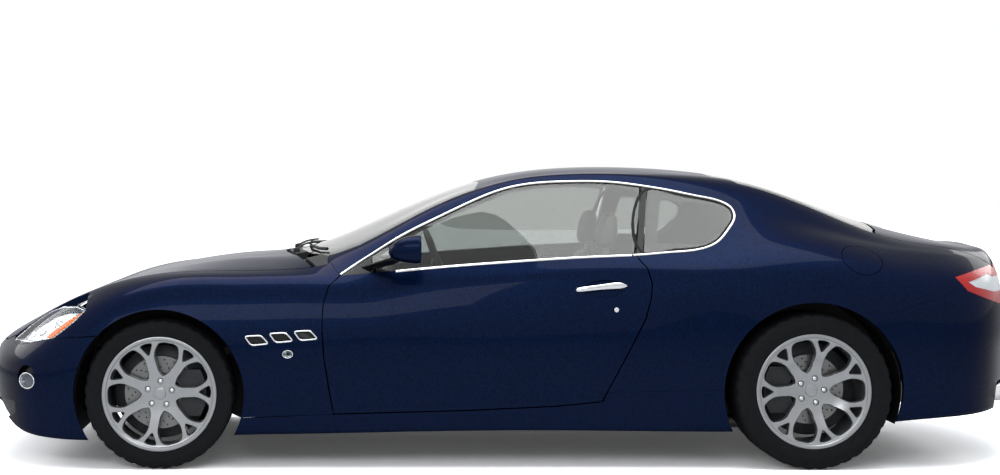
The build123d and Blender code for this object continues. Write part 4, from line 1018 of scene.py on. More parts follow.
turned_iron, tree, shader = start_material("turned_cast_iron_disc", Metallic=1.0, Roughness=0.35)
rings = add(tree, "ShaderNodeTexWave", wave_type="RINGS", rings_direction="Y", Scale=160.0, Distortion=0.5)
in_object_space(tree, rings)
two_tones(tree, shader, rings.outputs["Fac"], "#5e5f61", "#838383")

cast_alloy, tree, shader = start_material("sand_cast_aluminium", Metallic=0.9, Roughness=0.5)
grain = add(tree, "ShaderNodeTexNoise", Scale=500.0, Detail=3.0)
relief(tree, shader, grain.outputs[0], 0.3, 0.0004)
two_tones(tree, shader, grain.outputs[0], "#6f7072", "#8b8c8e")

# %% Wheel geometry
WHEELS = {
    "f": dict(
        x=FRONT_AXLE, y=793.0, z=FRONT_TYRE, radius=FRONT_TYRE, half_width=122.5, rim_half=107.0, dish=34.0,
        spokes=105.4, bolts=87.0
    ),
    "r": dict(
        x=REAR_AXLE, y=795.0, z=REAR_TYRE, radius=REAR_TYRE, half_width=142.5, rim_half=127.0, dish=52.0,
        spokes=78.1, bolts=74.6
    ),
}
SPOKES, BOLTS, RIM_RADIUS, BOLT_CIRCLE = 7, 5, 259.0, 57.0


def turned_points(profile, segments):
    """Points in wheel coordinates (x, outboard, z) from a profile of (outboard, radius)."""
    turns = [2 * math.pi * i / segments for i in range(segments)]
    return [(r * math.cos(t), out, r * math.sin(t)) for t in turns for out, r in profile]


def turned(profile, segments=144):
    """Points and faces of a closed ring from a closed profile of (outboard, radius)."""
    return turned_points(profile, segments), looped(segments, len(profile))


def dish_out(w, r):
    """How far outboard the front of the spokes lies at a radius."""
    rim, hub = w["rim_half"], w["rim_half"] - w["dish"]
    heights = [hub - 1, hub, hub + 5, hub + 12, rim - 16, rim - 11, rim - 9]
    return float(np.interp(r, [0, 30, 78, 120, 165, 205, 249], heights))


def flared_cutter(w, outline):
    """A cutter whose mouth flares at the face, so that the edge it leaves is rounded."""
    layers = [(8.0, 6.0), (4.2, 0.6), (1.6, -2.2), (0.3, -5.5), (0.0, -9.0), (0.0, -95.0)]
    rings = []
    for grow, lift in layers:
        ring = grown(outline, grow)
        rings.append([(a, dish_out(w, math.hypot(a, b)) + lift, b) for a, b in ring])
    mesh = lofted(rings)
    bm = bmesh.new()
    bm.from_mesh(mesh)
    bmesh.ops.triangulate(bm, faces=[f for f in bm.faces if len(f.verts) > 4])
    bm.to_mesh(mesh)
    bm.free()
    return mesh


def ray_point(radius, degrees):
    """The place at a radius and an angle round a wheel."""
    return radius * math.cos(math.radians(degrees)), radius * math.sin(math.radians(degrees))


def wheel_rim(w):
    """The dished, cut face and the barrel of one rim, as one mesh in wheel coordinates."""
    half, hub = w["rim_half"], w["rim_half"] - w["dish"]
    radii = [27.5, 40, 60, 78, 100, 120, 142, 165, 185, 205, 225, 236]
    front = [(dish_out(w, r), r) for r in radii] + [(half - 7, 240.5), (half - 3, 242)]
    back = [(half - 40, 242), (half - 46, 205), (half - 52, 165), (hub - 32, 78), (hub - 40, 27.5)]
    face = as_mesh("face", *turned(front + back, 168))
    step = 360 / SPOKES
    cutters = []
    side = [(90, 6.5), (106, 12.5), (135, 15.5), (165, 17.5), (185, 16.5), (203, 14.5), (226, 11), (232, 6)]
    for k in range(SPOKES):
        spoke = w["spokes"] + step * k
        gap = spoke + step / 2
        big = [ray_point(r, gap - t) for r, t in side] + [ray_point(r, gap + t) for r, t in side[::-1]]
        big.append(ray_point(82, gap))
        small = [
            ray_point(178, spoke), ray_point(229, spoke - 6.8), ray_point(232, spoke),
            ray_point(229, spoke + 6.8)
        ]
        cutters += [flared_cutter(w, rounded(big, 11, 5)), flared_cutter(w, rounded(small, 9, 5))]
    out = dish_out(w, BOLT_CIRCLE)
    for k in range(BOLTS):
        a, b = ray_point(BOLT_CIRCLE, w["bolts"] + 360 / BOLTS * k)
        ring = [(a + 15 * math.cos(t), b + 15 * math.sin(t)) for t in circle(24)]
        cutters.append(prism(ring, out - 16, out + 20, lambda u, v, h: (u, h, v)))
    return carve(face, (), cutters)


def barrel_profile(w):
    """The section of the rim behind its face, as (outboard, radius)."""
    half = w["rim_half"]
    return [
        (half - 9, 239.5), (half - 3.5, 241), (half - 0.8, 244), (half, 249), (half, 256),
        (half - 1.2, 258.4), (half - 3.5, RIM_RADIUS), (half - 8, 257.5), (half - 11, 246),
        (half - 30, 243.5), (-half + 30, 243.5), (-half + 11, 246), (-half + 8, 257.5), (-half, 257.5),
        (-half, 250), (-half + 16, 238), (half - 44, 233)
    ]


def tyre_profile(w):
    """Half a tyre section from the bead round to the middle of the tread, as (outboard, radius)."""
    h, r, rim = w["half_width"], w["radius"], w["rim_half"]
    bead = [(rim - 12, 247), (rim - 1.5, 260.5), (rim + 4.5, 262), (rim + 8.5, 267), (h - 7.0, 270)]
    wall = [(h - 3.0, 281), (h - 1.2, 291), (h - 0.6, 292.5), (h - 0.2, 300), (h - 0.1, 309), (h - 1.4, 317)]
    shoulder = [
        (h - 4.0, r - 15), (h - 4.2, r - 13.5), (h - 9.0, r - 7.5), (h - 15, r - 4.2), (h - 24, r - 2.0)
    ]
    return bead + wall + shoulder


def wheel_tyre(w, segments=216):
    """A tyre with four grooves round it and slots across its shoulders, which stay inside the CAD tyre."""
    h, r = w["half_width"], w["radius"]
    half = tyre_profile(w)
    ribs = []
    for groove in (0.58, 0.2):
        edge = (h - 24) * groove
        ribs += [(edge + 5.5, r - 0.9), (edge + 4.3, r - 7.5), (edge - 4.3, r - 7.5), (edge - 5.5, r - 0.9)]
    half += ribs
    profile = half + [(-o, q) for o, q in half[::-1]]
    profile += [(-w["rim_half"] + 14, 246), (w["rim_half"] - 14, 246)]
    points = []
    for i in range(segments):
        t = 2 * math.pi * i / segments
        for o, q in profile:
            slot = 4.0 if i % 6 in (0, 1) and q > r - 9 and abs(o) > (h - 24) * 0.63 else 0.0
            points.append(((q - slot) * math.cos(t), o, (q - slot) * math.sin(t)))
    return as_mesh("tyre", points, looped(segments, len(profile)))


def lathe_cap(profile, segments=48):
    """A round boss closed at its middle, from (outboard, radius) pairs that end at the axis."""
    count = len(profile)
    faces = []
    for i in range(segments):
        a, b = i * count, (i + 1) % segments * count
        faces += [[a + k, a + k + 1, b + k + 1, b + k] for k in range(count - 1)]
    first = [i * count for i in range(segments)]
    faces += [[at + count - 1 for at in first], first[::-1]]
    return turned_points(profile, segments), faces


def stood(mesh, place, axis, up="Z"):
    """Move a turned mesh to a place in metres, its axis along the given direction."""
    mesh.transform(Matrix.Translation(place) @ Vector(axis).to_track_quat("Y", up).to_matrix().to_4x4())
    return mesh


def round_boss(name, profile, stand, material, body, segments=40, smooth=40):
    """A round boss on a body; its stand is its place in metres and its axis."""
    mesh = stood(as_mesh(name, *lathe_cap(profile, segments)), *stand)
    thing = dress_mesh(name, mesh, material, body, smooth)


def joined(meshes):
    """Several meshes in one, with their material indices kept."""
    bm = bmesh.new()
    for mesh in meshes:
        bm.from_mesh(mesh)
    made = bpy.data.meshes.new("joined")
    bm.to_mesh(made)
    bm.free()
    return made


# %% Build the four wheels
def at_wheel(mesh, w, sign):
    """A copy of a mesh in wheel coordinates, put in its place on one side of the car."""
    made = mesh.copy()
    place = Matrix.Translation((w["x"] * MM, sign * w["y"] * MM, w["z"] * MM))
    made.transform(place @ Matrix.Scale(sign, 4, (0, 1, 0)))
    if sign < 0:
        made.flip_normals()
    return made


def shifted(points, a, b):
    """Points in wheel coordinates moved over the face of the wheel."""
    return [(p[0] + a, p[1], p[2] + b) for p in points]


def boss_on(seat, profile, segments=48):
    """Points and faces of a round boss that stands on a seat at the given place outboard."""
    return lathe_cap([(seat + out, r) for out, r in profile], segments)


CAP_PROFILE = [(-12, 27.2), (0.5, 27.2), (2.2, 25.5), (3.4, 20), (4.2, 10), (4.4, 2)]
BOLT_PROFILE = [(-4, 10.5), (8, 10.5), (11.5, 9.2), (13.5, 6.5), (14.3, 2)]

for end, w in WHEELS.items():
    rim = one_material(joined([wheel_rim(w), as_mesh("barrel", *turned(barrel_profile(w), 168))]))
    cap = one_material(as_mesh("cap", *boss_on(dish_out(w, 30), CAP_PROFILE)), 1)
    points, faces = boss_on(dish_out(w, BOLT_CIRCLE) - 16, BOLT_PROFILE, 24)
    bolts = []
    for k in range(BOLTS):
        a, b = ray_point(BOLT_CIRCLE, w["bolts"] + 360 / BOLTS * k)
        bolts.append(one_material(as_mesh("bolt", shifted(points, a, b), faces), 2))
    rim = joined([rim, cap] + bolts)
    tyre = wheel_tyre(w)
    for side, sign in (("l", -1), ("r", 1)):
        for name, mesh, materials, slot in (
            ("rim", rim, [cast_silver, cast_silver, chrome], "rim_alloy"),
            ("tyre", tyre, [tyre_rubber], "tyre_rubber"),
        ):
            made = at_wheel(mesh, w, sign)
            keep = [p.material_index for p in made.polygons]
            thing = dress_mesh(
                f"{name}_cover_{end}{side}", made, materials, f"wheel_{end}{side}", smooth=32, indices=keep
            )
            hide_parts(f"{name}_{end}{side}")
print("wheels built, faces per rim", len(rim.polygons), "per tyre", len(tyre.polygons))


# %% [markdown]
# ## Recesses, lamps and vents
# Each opening cut above gets a floor a little under the skin, cut from a thinner hull. A lamp is
# built as real ones are: a clear outer lens, a bright bowl behind it, and the lamps themselves
# standing in the bowl.

# %% Lens and backing materials
clear_lens = mottled(
    "clear_moulded_polycarbonate", 30.0, "#f2f5f7", "#fbfcfd", Roughness=0.02, IOR=1.08,
    Transmission_Weight=1.0
)


def lens_material(name, dark, light, pitch):
    """A coloured lens with fine prisms moulded in its back, at a pitch in millimetres."""
    material, tree, shader = start_material(
        name, Roughness=0.3, Coat_Weight=0.3, Coat_Roughness=0.02, Coat_IOR=1.3, Specular_IOR_Level=0.2
    )
    ribs = add(tree, "ShaderNodeTexWave", Scale=1000 / pitch / 6.28, bands_direction="X")
    in_object_space(tree, ribs)
    two_tones(tree, shader, ribs.outputs["Fac"], dark, light)
    relief(tree, shader, ribs.outputs["Fac"], 0.3, 0.0006)
    return material


red_lens = lens_material("red_moulded_acrylic_lens", "#8d0f10", "#c4201c", 4.0)
amber_lens = lens_material("amber_moulded_acrylic_lens", "#c4500a", "#ea7a1c", 4.0)
frosted_lens = lens_material("frosted_clear_acrylic_lens", "#b9c0c6", "#e4e8eb", 3.0)

bright_bowl, tree, shader = start_material("vacuum_coated_reflector", Metallic=0.9, Roughness=0.22)
flutes = add(tree, "ShaderNodeTexWave", Scale=28.0, bands_direction="Z")
in_object_space(tree, flutes)
two_tones(tree, shader, flutes.outputs["Fac"], "#7f868d", "#b4bbc1")

dark_glass = mottled(
    "dark_projector_glass", 20.0, "#26303b", "#3b4856", Roughness=0.03, Coat_Weight=1.0, Coat_Roughness=0.0
)

mesh_with_painted_shade, tree, shader = start_material("expanded_metal_mesh_painted_shade_openings", Metallic=0.4, Roughness=0.5)
cell = 9.0  # mm across one opening of the mesh
cells = add(tree, "ShaderNodeTexVoronoi", Scale=1000 / cell, Randomness=0.0, feature="DISTANCE_TO_EDGE")
in_object_space(tree, cells)
opening_shade = add(tree, "ShaderNodeMapRange", [("Value", cells.outputs["Distance"])], From_Min=0.05, From_Max=0.16)
# The openings are painted near black, as painted shade for the dark space behind the mesh; the strands are
# dark grey.
two_tones(tree, shader, opening_shade.outputs[0], "#2b2d30", "#020203")
relief(tree, shader, opening_shade.outputs[0], 0.8, 0.002, invert=True)


# %% Slices of the hull at a depth
slices = {}


def depth_hull(depth):
    """The closed hull at one depth under the skin, made once and kept."""
    if depth not in slices:
        slices[depth] = closed_mesh(f"hull_{depth}", hull_grid(depth, 6.0 + 0.4 * depth, 200, 121))
    return slices[depth]


def slice_piece(name, keep, near, far, materials, body, drop=()):
    """The layer between two depths inside some prisms, on the right and mirrored to the left."""
    mesh = carve(outer_hull if near == 0 else depth_hull(near), keep, [depth_hull(far)] + list(drop))
    made = []
    for side in ("right", "left"):
        layer = mesh.copy() if side == "right" else mirrored(mesh)
        thing = dress_mesh(f"{name}_{side}", layer, materials, body.replace("SIDE", side), smooth=35)
        one_material(thing.data)
        made.append(thing)
    return made


def ring_on_side(name, outline, section, material, body, slot="bright_chrome", step=6.0):
    """A closed strip round an outline on both sides of the car."""
    for side, sign in SIDES:
        look = section, material, body.replace("SIDE", side), slot, sign
        strip_on_side(f"{name}_{side}", outline, *look, closed=True, step=step)


slice_piece("quarter_black_edge", [side_prism(QUARTER_GLASS)], 7, 9, ceramic_band, "car",
            [side_prism(QUARTER_CLEAR)])
slice_piece(
    "door_black_edge", [side_prism(DOOR_GLASS)], 7, 9, ceramic_band, "door_SIDE",
    [side_prism(DOOR_CLEAR)]
)
# The vent and intake floors wear the mesh whose openings hold painted shade.
for k, outline in enumerate(VENTS):
    slice_piece(
        f"wing_vent_mesh_{k}", [side_prism(grown(outline, 3))], 14, 17, mesh_with_painted_shade, "car"
    )
    ring_on_side(f"wing_vent_rim_{k}", outline, half_round(8, 4.0, 6), chrome, "car", step=4.0)
slice_piece("handle_cup", [side_prism(grown(HANDLE_CUP, 3))], 17, 20, paint, "door_SIDE")
slice_piece(
    "corner_intake_mesh", [corner_block(grown(CORNER_INTAKE, 3))], 30, 34, mesh_with_painted_shade, "car",
)
slice_piece(
    "fog_lamp_bowl", [side_prism(grown(FOG_LAMP, 3), 300)], 30, 34, piano_black, "car"
)
slice_piece(
    "fog_lamp_lens", [side_prism(ellipse(-2180, 388, 38, 34), 300)], 20, 26, dark_glass, "car"
)
ring_on_side("fog_lamp_rim", ellipse(-2180, 388, 39, 35), half_round(5, 1.5, 22), chrome, "car", step=5.0)
marker = ellipse(-988, 519, 23, 17, 2)
slice_piece("side_marker", [side_prism(marker)], 0, 12, frosted_lens, "car")
ring_on_side("side_marker_rim", marker, half_round(3.2, 1.6, 2), chrome, "car", step=3.0)
ring_on_side(
    "washer_cap_gap", rounded([(-2232, 545), (-2188, 545), (-2188, 512), (-2232, 512)], 5, 3),
    half_round(1.6, 0.12, 1), rubber_seal, "car", slot="black_plastic", step=4.0
)
print("vents and fog lamps done")

# %% Headlamps and tail lamps
AMBER = [
    (-2094, 581), (-2066, 579), (-2027, 596), (-1980, 634), (-1918, 690), (-1912, 706), (-1942, 690),
    (-1990, 662), (-2046, 622), (-2084, 594)
]
lenses = slice_piece(
    "headlamp_lens", [side_prism(HEADLAMP)], 1, 4, clear_lens, "car", [hood_room]
)
for thing in lenses:
    lay_skin_normals(thing.data)
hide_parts("headlamps")
slice_piece(
    "headlamp_bowl", [side_prism(grown(HEADLAMP, 1))], 34, 38, bright_bowl, "car", [hood_room]
)
slice_piece(
    "headlamp_wall", [side_prism(HEADLAMP)], 5, 37, bright_bowl, "car",
    [hood_room, side_prism(grown(HEADLAMP, -4))]
)
slice_piece("headlamp_turn_strip", [side_prism(AMBER)], 6, 16, amber_lens, "car", [hood_room])
for side, sign in SIDES:
    for k, (x, z, radius, glass) in enumerate(
        ((-2072, 640, 34, dark_glass), (-2150, 612, 22, frosted_lens), (-2206, 592, 16, frosted_lens))
    ):
        place, normal = on_side(x, z, sign)
        toward = (normal + Vector((-0.9, 0, 0.1))).normalized()
        seat = place - normal * 0.024 + Vector((0.006, 0, 0))
        bezel = ((-20, 0), (8, 0), (10, 1.5), (9, 4), (2, 6), (-20, 7))
        bezel = [(out, radius - less) for out, less in bezel]
        bulb = [(-20, radius - 7.5), (0, radius - 7.5), (5, radius - 11), (8, 0.55 * radius)]
        bulb += [(9.5, 0.25 * radius), (9.8, 1)]
        for part, profile, material in (("bezel", bezel, chrome), ("glass", bulb, glass)):
            name = f"headlamp_{part}_{k}_{side}"
            round_boss(name, profile, (seat, toward), material, "car")
    seal = half_round(5, 0.4, 8), rubber_seal, "car", "black_plastic", sign
    strip_on_side("headlamp_seal_" + side, LAMP_LOW[::-1] + [(-2293, 549)], *seal, step=10.0)

REVERSE_LAMP = [(2098, 838), (2232, 871), (2262, 856), (2420, 856), (2420, 788), (2258, 787), (2134, 815)]
reverse = side_prism(REVERSE_LAMP, 480)
red = slice_piece(
    "tail_lamp_lens", [side_prism(TAIL_LAMP, 480)], 0, 22, red_lens, "car", [boot_room, reverse]
)
for thing in red:
    lay_skin_normals(thing.data)
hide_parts("tail_lamps")
slice_piece("reversing_lens", [reverse], 2, 20, frosted_lens, "car", [boot_room])
print("lamps done")

# %% Filler flap, on the left only
cover = carve(mirrored(outer_hull), [flap_disc(92.0, -14, 25)], [mirrored(depth_hull(14))])
flap_cover = dress_mesh("filler_flap_cover", cover, [paint, primer], "fuel_flap", smooth=35)
lay_skin_normals(cover)
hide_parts("fuel_flap")
print("flap faces", len(cover.polygons))

# %% Door handles and locks
for side, sign in SIDES:
    stations_of_bar = [
        (309, 804.6, 3, 2), (313, 805, 8, 5), (322, 805.6, 11, 7), (345, 808.3, 12, 8),
        (375, 811.6, 12.2, 8.5), (430, 817.8, 13.2, 9), (470, 822, 15, 9.5), (492, 823.8, 16.3, 10),
        (512, 824, 15.2, 9.5), (528, 823.6, 10.5, 8), (537, 823.2, 5.5, 5), (541, 823, 1.5, 2)
    ]
    rings = []
    for x, z, high, deep in stations_of_bar:
        place, normal = on_side(x, z, sign)
        middle = place / MM + normal * (7.0 if 330 < x < 520 else 4.0)
        ring = []
        for t in circle(20):
            fuller = 1.0 if math.cos(t) > 0 else 0.6
            point = middle + Vector((0, 0, high * math.sin(t))) + normal * (deep * math.cos(t) * fuller)
            ring.append(tuple(point))
        rings.append(ring)
    bar = dress_mesh("door_handle_cover_" + side, lofted(rings), chrome, "door_" + side, smooth=60)
    fine = bar.modifiers.new("smooth", "SUBSURF")
    fine.levels = fine.render_levels = 1
    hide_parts("door_handle_" + side)
    place, normal = on_side(491, 717, sign)
    profile = [
        (-6, 10.4), (0.6, 10.4), (1.4, 9.6), (1.6, 8.6), (1.0, 8.0), (1.0, 3.2), (0.2, 3.0), (0.2, 0.5)
    ]
    stand = place, normal
    round_boss("door_lock_" + side, profile, stand, chrome, "door_" + side, 32)
print("handles done")

# %% [markdown]
# ## Door mirrors
# A mirror is one shell: rings of a squared oval, larger towards the glass. The glass stands a few
# millimetres inside the rim, and a stem joins the shell to the black sail in the window's corner.

# %% Mirrors
silvered = mottled("silvered_mirror_glass", 20.0, "#cdd2d6", "#d9dde0", Metallic=1.0, Roughness=0.01)


def squared_ring(x, y, z, half_wide, half_high, power, count=48):
    """A ring in the plane across the car, between an oval and a rectangle."""
    made = []
    for t in circle(count):
        c, d = math.cos(t), math.sin(t)
        across = half_wide * math.copysign(abs(c) ** (2 / power), c)
        made.append((x, y + across, z + half_high * math.copysign(abs(d) ** (2 / power), d)))
    return made


shell_rings = [
    (-535, 940, 978, 6, 5), (-532, 941, 979, 18, 14), (-524, 943, 981, 32, 26), (-508, 945, 984, 46, 40),
    (-484, 947, 987, 59, 51), (-454, 948, 990, 69, 59), (-424, 948, 991, 75, 63),
    (-404, 948, 991.5, 77.5, 64), (-393, 948, 991.5, 78, 64), (-390.5, 948, 991.5, 77, 63),
    (-391, 948, 991.5, 74, 60), (-398, 948, 991.5, 72, 58)
]
for side, sign in SIDES:
    shell = lofted([squared_ring(x, y, z, a, b, 2.6) for x, y, z, a, b in shell_rings])
    glass_rings = [(-399, 71.5, 57.5), (-396.5, 71.5, 57.5), (-395.5, 70, 56)]
    glass = lofted([squared_ring(x, 948, 991.5, a, b, 2.6) for x, a, b in glass_rings])
    rings = []
    for t in np.linspace(0, 1, 9):
        middle = Vector((-648, 770, 892)).lerp(Vector((-470, 915, 950)), t)
        swell = 1 + 0.5 * t * t
        fuller = 1.0 if t > 0.1 else 0.9
        oval = [(38 * swell * math.cos(a) * fuller, 11 * swell * math.sin(a)) for a in circle(32)]
        rings.append([(middle.x + across, middle.y, middle.z + up) for across, up in oval])
    stem = lofted(rings)
    sail = carve(outer_hull, [side_prism(SAIL)], [inner_hull])
    for name, mesh, material, slot in (
        ("mirror_shell", shell, paint, "paint"), ("mirror_glass", glass, silvered, "bright_chrome"),
        ("mirror_stem", stem, piano_black, "black_plastic"),
        ("mirror_sail", sail, piano_black, "black_plastic")
    ):
        if sign < 0:
            mesh = mirrored(mesh)
        one_material(mesh)
        thing = dress_mesh(f"{name}_{side}", mesh, material, "door_" + side, smooth=50)
        if name == "mirror_shell":
            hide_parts("mirror_" + side)
print("mirrors done")


# %% [markdown]
# ## Cabin finishes
# The cabin is trimmed in light grey leather over dark moulded plastic. The door cards and the
# headliner are the inner faces of the doors and the roof, so they only need their own finish.

# %% Leather, cloth and carpet
def leather_material(name, dark, light, rough=0.48):
    """Grained leather: soft cells, fine pores and slow changes of tone."""
    material, tree, shader = start_material(name, Roughness=rough, Sheen_Weight=0.15)
    grain_pitch = 1.6  # mm across one cell of the grain
    cells = add(tree, "ShaderNodeTexVoronoi", Scale=1000 / grain_pitch, feature="SMOOTH_F1")
    pores = add(tree, "ShaderNodeTexNoise", Scale=900.0, Detail=2.0)
    height = add(
        tree, "ShaderNodeMath", [(0, cells.outputs["Distance"]), (1, pores.outputs[0])], operation="ADD"
    )
    relief(tree, shader, height.outputs[0], 0.35, 0.0004)
    tone = add(tree, "ShaderNodeTexNoise", Scale=9.0, Detail=4.0)
    two_tones(tree, shader, tone.outputs[0], dark, light)
    return material


seat_leather = leather_material("pearl_grey_grained_leather", "#a3a6a0", "#b9bbb5")
dark_leather = leather_material("charcoal_grained_leather", "#1d2026", "#2b2e35", 0.42)
stitching = leather_material("twisted_polyester_thread", "#8b8e8a", "#d0d2cd", 0.7)

headliner, tree, shader = start_material("knitted_grey_headliner", Roughness=0.9, Sheen_Weight=0.3)
loops = add(tree, "ShaderNodeTexWave", Scale=180.0, Distortion=2.0)
relief(tree, shader, loops.outputs["Fac"], 0.3, 0.0004)
two_tones(tree, shader, loops.outputs["Fac"], "#9a9c9a", "#b2b4b1")

forged_steel = mottled(
    "forged_steel_black_oxide", 45.0, "#1f2023", "#3f4144", detail=6.0, Metallic=0.8, Roughness=0.5
)
aluminised = mottled(
    "aluminised_exhaust_steel", 7.0, "#77726b", "#a3a19d", detail=5.0, Metallic=0.9, Roughness=0.42
)

cores, tree, shader = start_material("finned_aluminium_core", Metallic=0.7, Roughness=0.5)
fins = add(tree, "ShaderNodeTexWave", Scale=60.0, bands_direction="Z")
relief(tree, shader, fins.outputs["Fac"], 0.8, 0.001)
two_tones(tree, shader, fins.outputs["Fac"], "#1b1c1d", "#4b4d4f")

# %% Finishes for the CAD nodes that stay
FINISHES = (
    (grained_plastic, ("arch_liners", "fuel_filler")), (primer, ("floor",)),
    (
        forged_steel,
        (
            "front_frame", "rear_frame", "knuckle_fl", "knuckle_fr", "front_suspension", "rear_suspension",
            "rear_uprights"
        )
    ),
    (cast_alloy, ("engine", "final_drive")), (cores, ("radiator",)), (aluminised, ("exhaust",)),
    (piano_black, ("grille",)),
)
for material, nodes in FINISHES:
    for node in nodes:
        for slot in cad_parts[node].material_slots:
            slot.link = "OBJECT"
            slot.material = material
    print(material.name, nodes)
roof_skin.data.materials[1] = headliner
for thing in doors:
    thing.data.materials[1] = seat_leather
for thing in body_sides:
    thing.data.materials[1] = headliner

# %% [markdown]
# ## Padded seats
# Each pad begins as a rounded block with a form of its own: raised bolsters, a crown and sewn
# channels. Cloth simulation then blows the cover out against its own tension, as foam does under
# leather, and the result is kept. Welts follow the seams.

# %% Pads
def block_surface(count):
    """The points and quads of a cube from -1 to 1, with the given number of squares along a side."""
    bm = bmesh.new()
    bmesh.ops.create_cube(bm, size=2)
    bmesh.ops.subdivide_edges(bm, edges=bm.edges, cuts=count - 1, use_grid_fill=True)
    points = [v.co.copy() for v in bm.verts]
    faces = [[v.index for v in f.verts] for f in bm.faces]
    bm.free()
    return points, faces


def pad_mesh(form, power=5.0, count=22):
    """A rounded block whose unit coordinates are turned into places by a form."""
    points, faces = block_surface(count)
    made = []
    for p in points:
        size = (abs(p.x) ** power + abs(p.y) ** power + abs(p.z) ** power) ** (1 / power)
        made.append(tuple(form(p.x / size, p.y / size, p.z / size)))
    return as_mesh("pad", made, faces)


def blown(mesh, voxel, pressure, reach):
    """The mesh after its cover is blown out by cloth simulation, no point moved farther than the reach."""
    scene = bpy.context.scene
    thing = bpy.data.objects.new("cover", mesh.copy())
    scene.collection.objects.link(thing)
    remesh = thing.modifiers.new("remesh", "REMESH")
    remesh.mode, remesh.voxel_size = "VOXEL", voxel
    view = bpy.context.evaluated_depsgraph_get()
    fine = bpy.data.meshes.new_from_object(thing.evaluated_get(view))
    thing.modifiers.clear()
    thing.data = fine
    before = np.empty(len(fine.vertices) * 3)
    fine.vertices.foreach_get("co", before)
    cloth = thing.modifiers.new("cloth", "CLOTH")
    settings = cloth.settings
    settings.use_pressure, settings.uniform_pressure_force = True, pressure
    settings.effector_weights.gravity = 0.0
    settings.quality = 4
    settings.tension_stiffness = settings.compression_stiffness = 25
    settings.bending_stiffness = 2.0
    cloth.point_cache.frame_start, cloth.point_cache.frame_end = 1, 20
    for step in range(1, 21):
        scene.frame_set(step)
    view = bpy.context.evaluated_depsgraph_get()
    made = bpy.data.meshes.new_from_object(thing.evaluated_get(view))
    after = np.empty(len(made.vertices) * 3)
    made.vertices.foreach_get("co", after)
    move = (after - before).reshape(-1, 3)
    far = np.linalg.norm(move, axis=1, keepdims=True)
    move *= np.minimum(1.0, reach / np.maximum(far, 1e-9))
    made.vertices.foreach_set("co", (before.reshape(-1, 3) + move).ravel())
    made.update()
    bpy.data.objects.remove(thing)
    scene.frame_set(1)
    print(
        "cover of", len(made.vertices), "points moved at most", round(float(far.max()) * 1000, 1),
        "mm before the cap"
    )
    return made


def groove(value, places, width):
    """Depth of sewn channels at some places, from 0 to 1."""
    return max(math.exp(-(((value - p) / width) ** 2)) for p in places)


SEAT_Y = 370.0


def front_cushion(u, v, w):
    """u across, v from the front edge back, w up."""
    x, y = 70 + 235 * v, 238 * u
    bolster = 34 * max(0.0, abs(u) - 0.62) / 0.38
    crown = 14 * (1 - min(abs(u) / 0.6, 1.0) ** 2) * (1 - v * v)
    along = 9 * groove(u, (-0.6, 0.6), 0.05) * (abs(v) < 0.93)
    across = 5 * groove(v, (-0.55, -0.2, 0.15, 0.5), 0.05) * (abs(u) < 0.56)
    top = 400 - 12 * v + bolster + crown - along - across
    return x, y, 325 + (top - 325) * (w + 1) / 2 if w > -1 else 325


def seat_back_line(t):
    """The middle line of the backrest, from its foot at 0 to its top at 1."""
    return 330 + 175 * t + 10 * t * t, 400 + 540 * t


def front_back(u, v, w):
    """u across, v up the back, w forward."""
    t = (v + 1) / 2
    x, z = seat_back_line(t)
    half = 232 - 52 * t * t - 18 * (1 - t) ** 2
    thick = 52 - 16 * t
    bolster = 40 * max(0.0, abs(u) - 0.6) / 0.4 * (1 - 0.75 * t) * (w > 0)
    along = 8 * groove(u, (-0.58, 0.58), 0.05)
    across = 5 * groove(v, (-0.6, -0.3, 0.0, 0.3, 0.6), 0.04) * (abs(u) < 0.55)
    channels = (along + across) * (w > 0.5)
    return x - w * thick - bolster + channels, half * u, z + 8 * (1 - abs(u) ** 2)


def head_pad(u, v, w):
    """u across, v up, w forward: the round restraint."""
    return 520 + 34 * v * 0.3 - w * (46 - 8 * v), 92 * u, 1058 + 86 * v


def rear_cushion(u, v, w):
    """u across, v from the front edge back, w up."""
    crown = 16 * (1 - u * u) * (1 - v * v)
    across, along = groove(v, (-0.4, 0.2), 0.05), groove(u, (-0.62, 0.62), 0.05)
    top = 428 + crown - 6 * across - 7 * along + 14 * max(0, abs(u) - 0.7)
    return 775 + 118 * v, 345 + 205 * u, 345 + (top - 345) * (w + 1) / 2


def rear_back(u, v, w):
    """u across, v up the back, w forward."""
    t = (v + 1) / 2
    x, z = 905 + 62 * t, 440 + 350 * t
    channels = (6 * groove(u, (-0.62, 0.62), 0.05) + 5 * groove(v, (-0.3, 0.2), 0.05)) * (w > 0.5)
    return x - w * (34 - 6 * t) + channels, 345 + 200 * u, z


def rear_head(u, v, w):
    """u across, v up, w forward."""
    return 962 - w * 24, 345 + 84 * u, 838 + 44 * v


def hang_pad(name, mesh, offset, flip=False, replaces=None):
    """One padded cushion in its place, mirrored to the left if flipped."""
    made = mesh.copy()
    made.transform(Matrix.Translation((0, offset * MM, 0)))
    if flip:
        made = mirrored(made)
    thing = dress_mesh(name, made, seat_leather, "car", smooth=180)
    if replaces:
        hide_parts(replaces)
    return thing


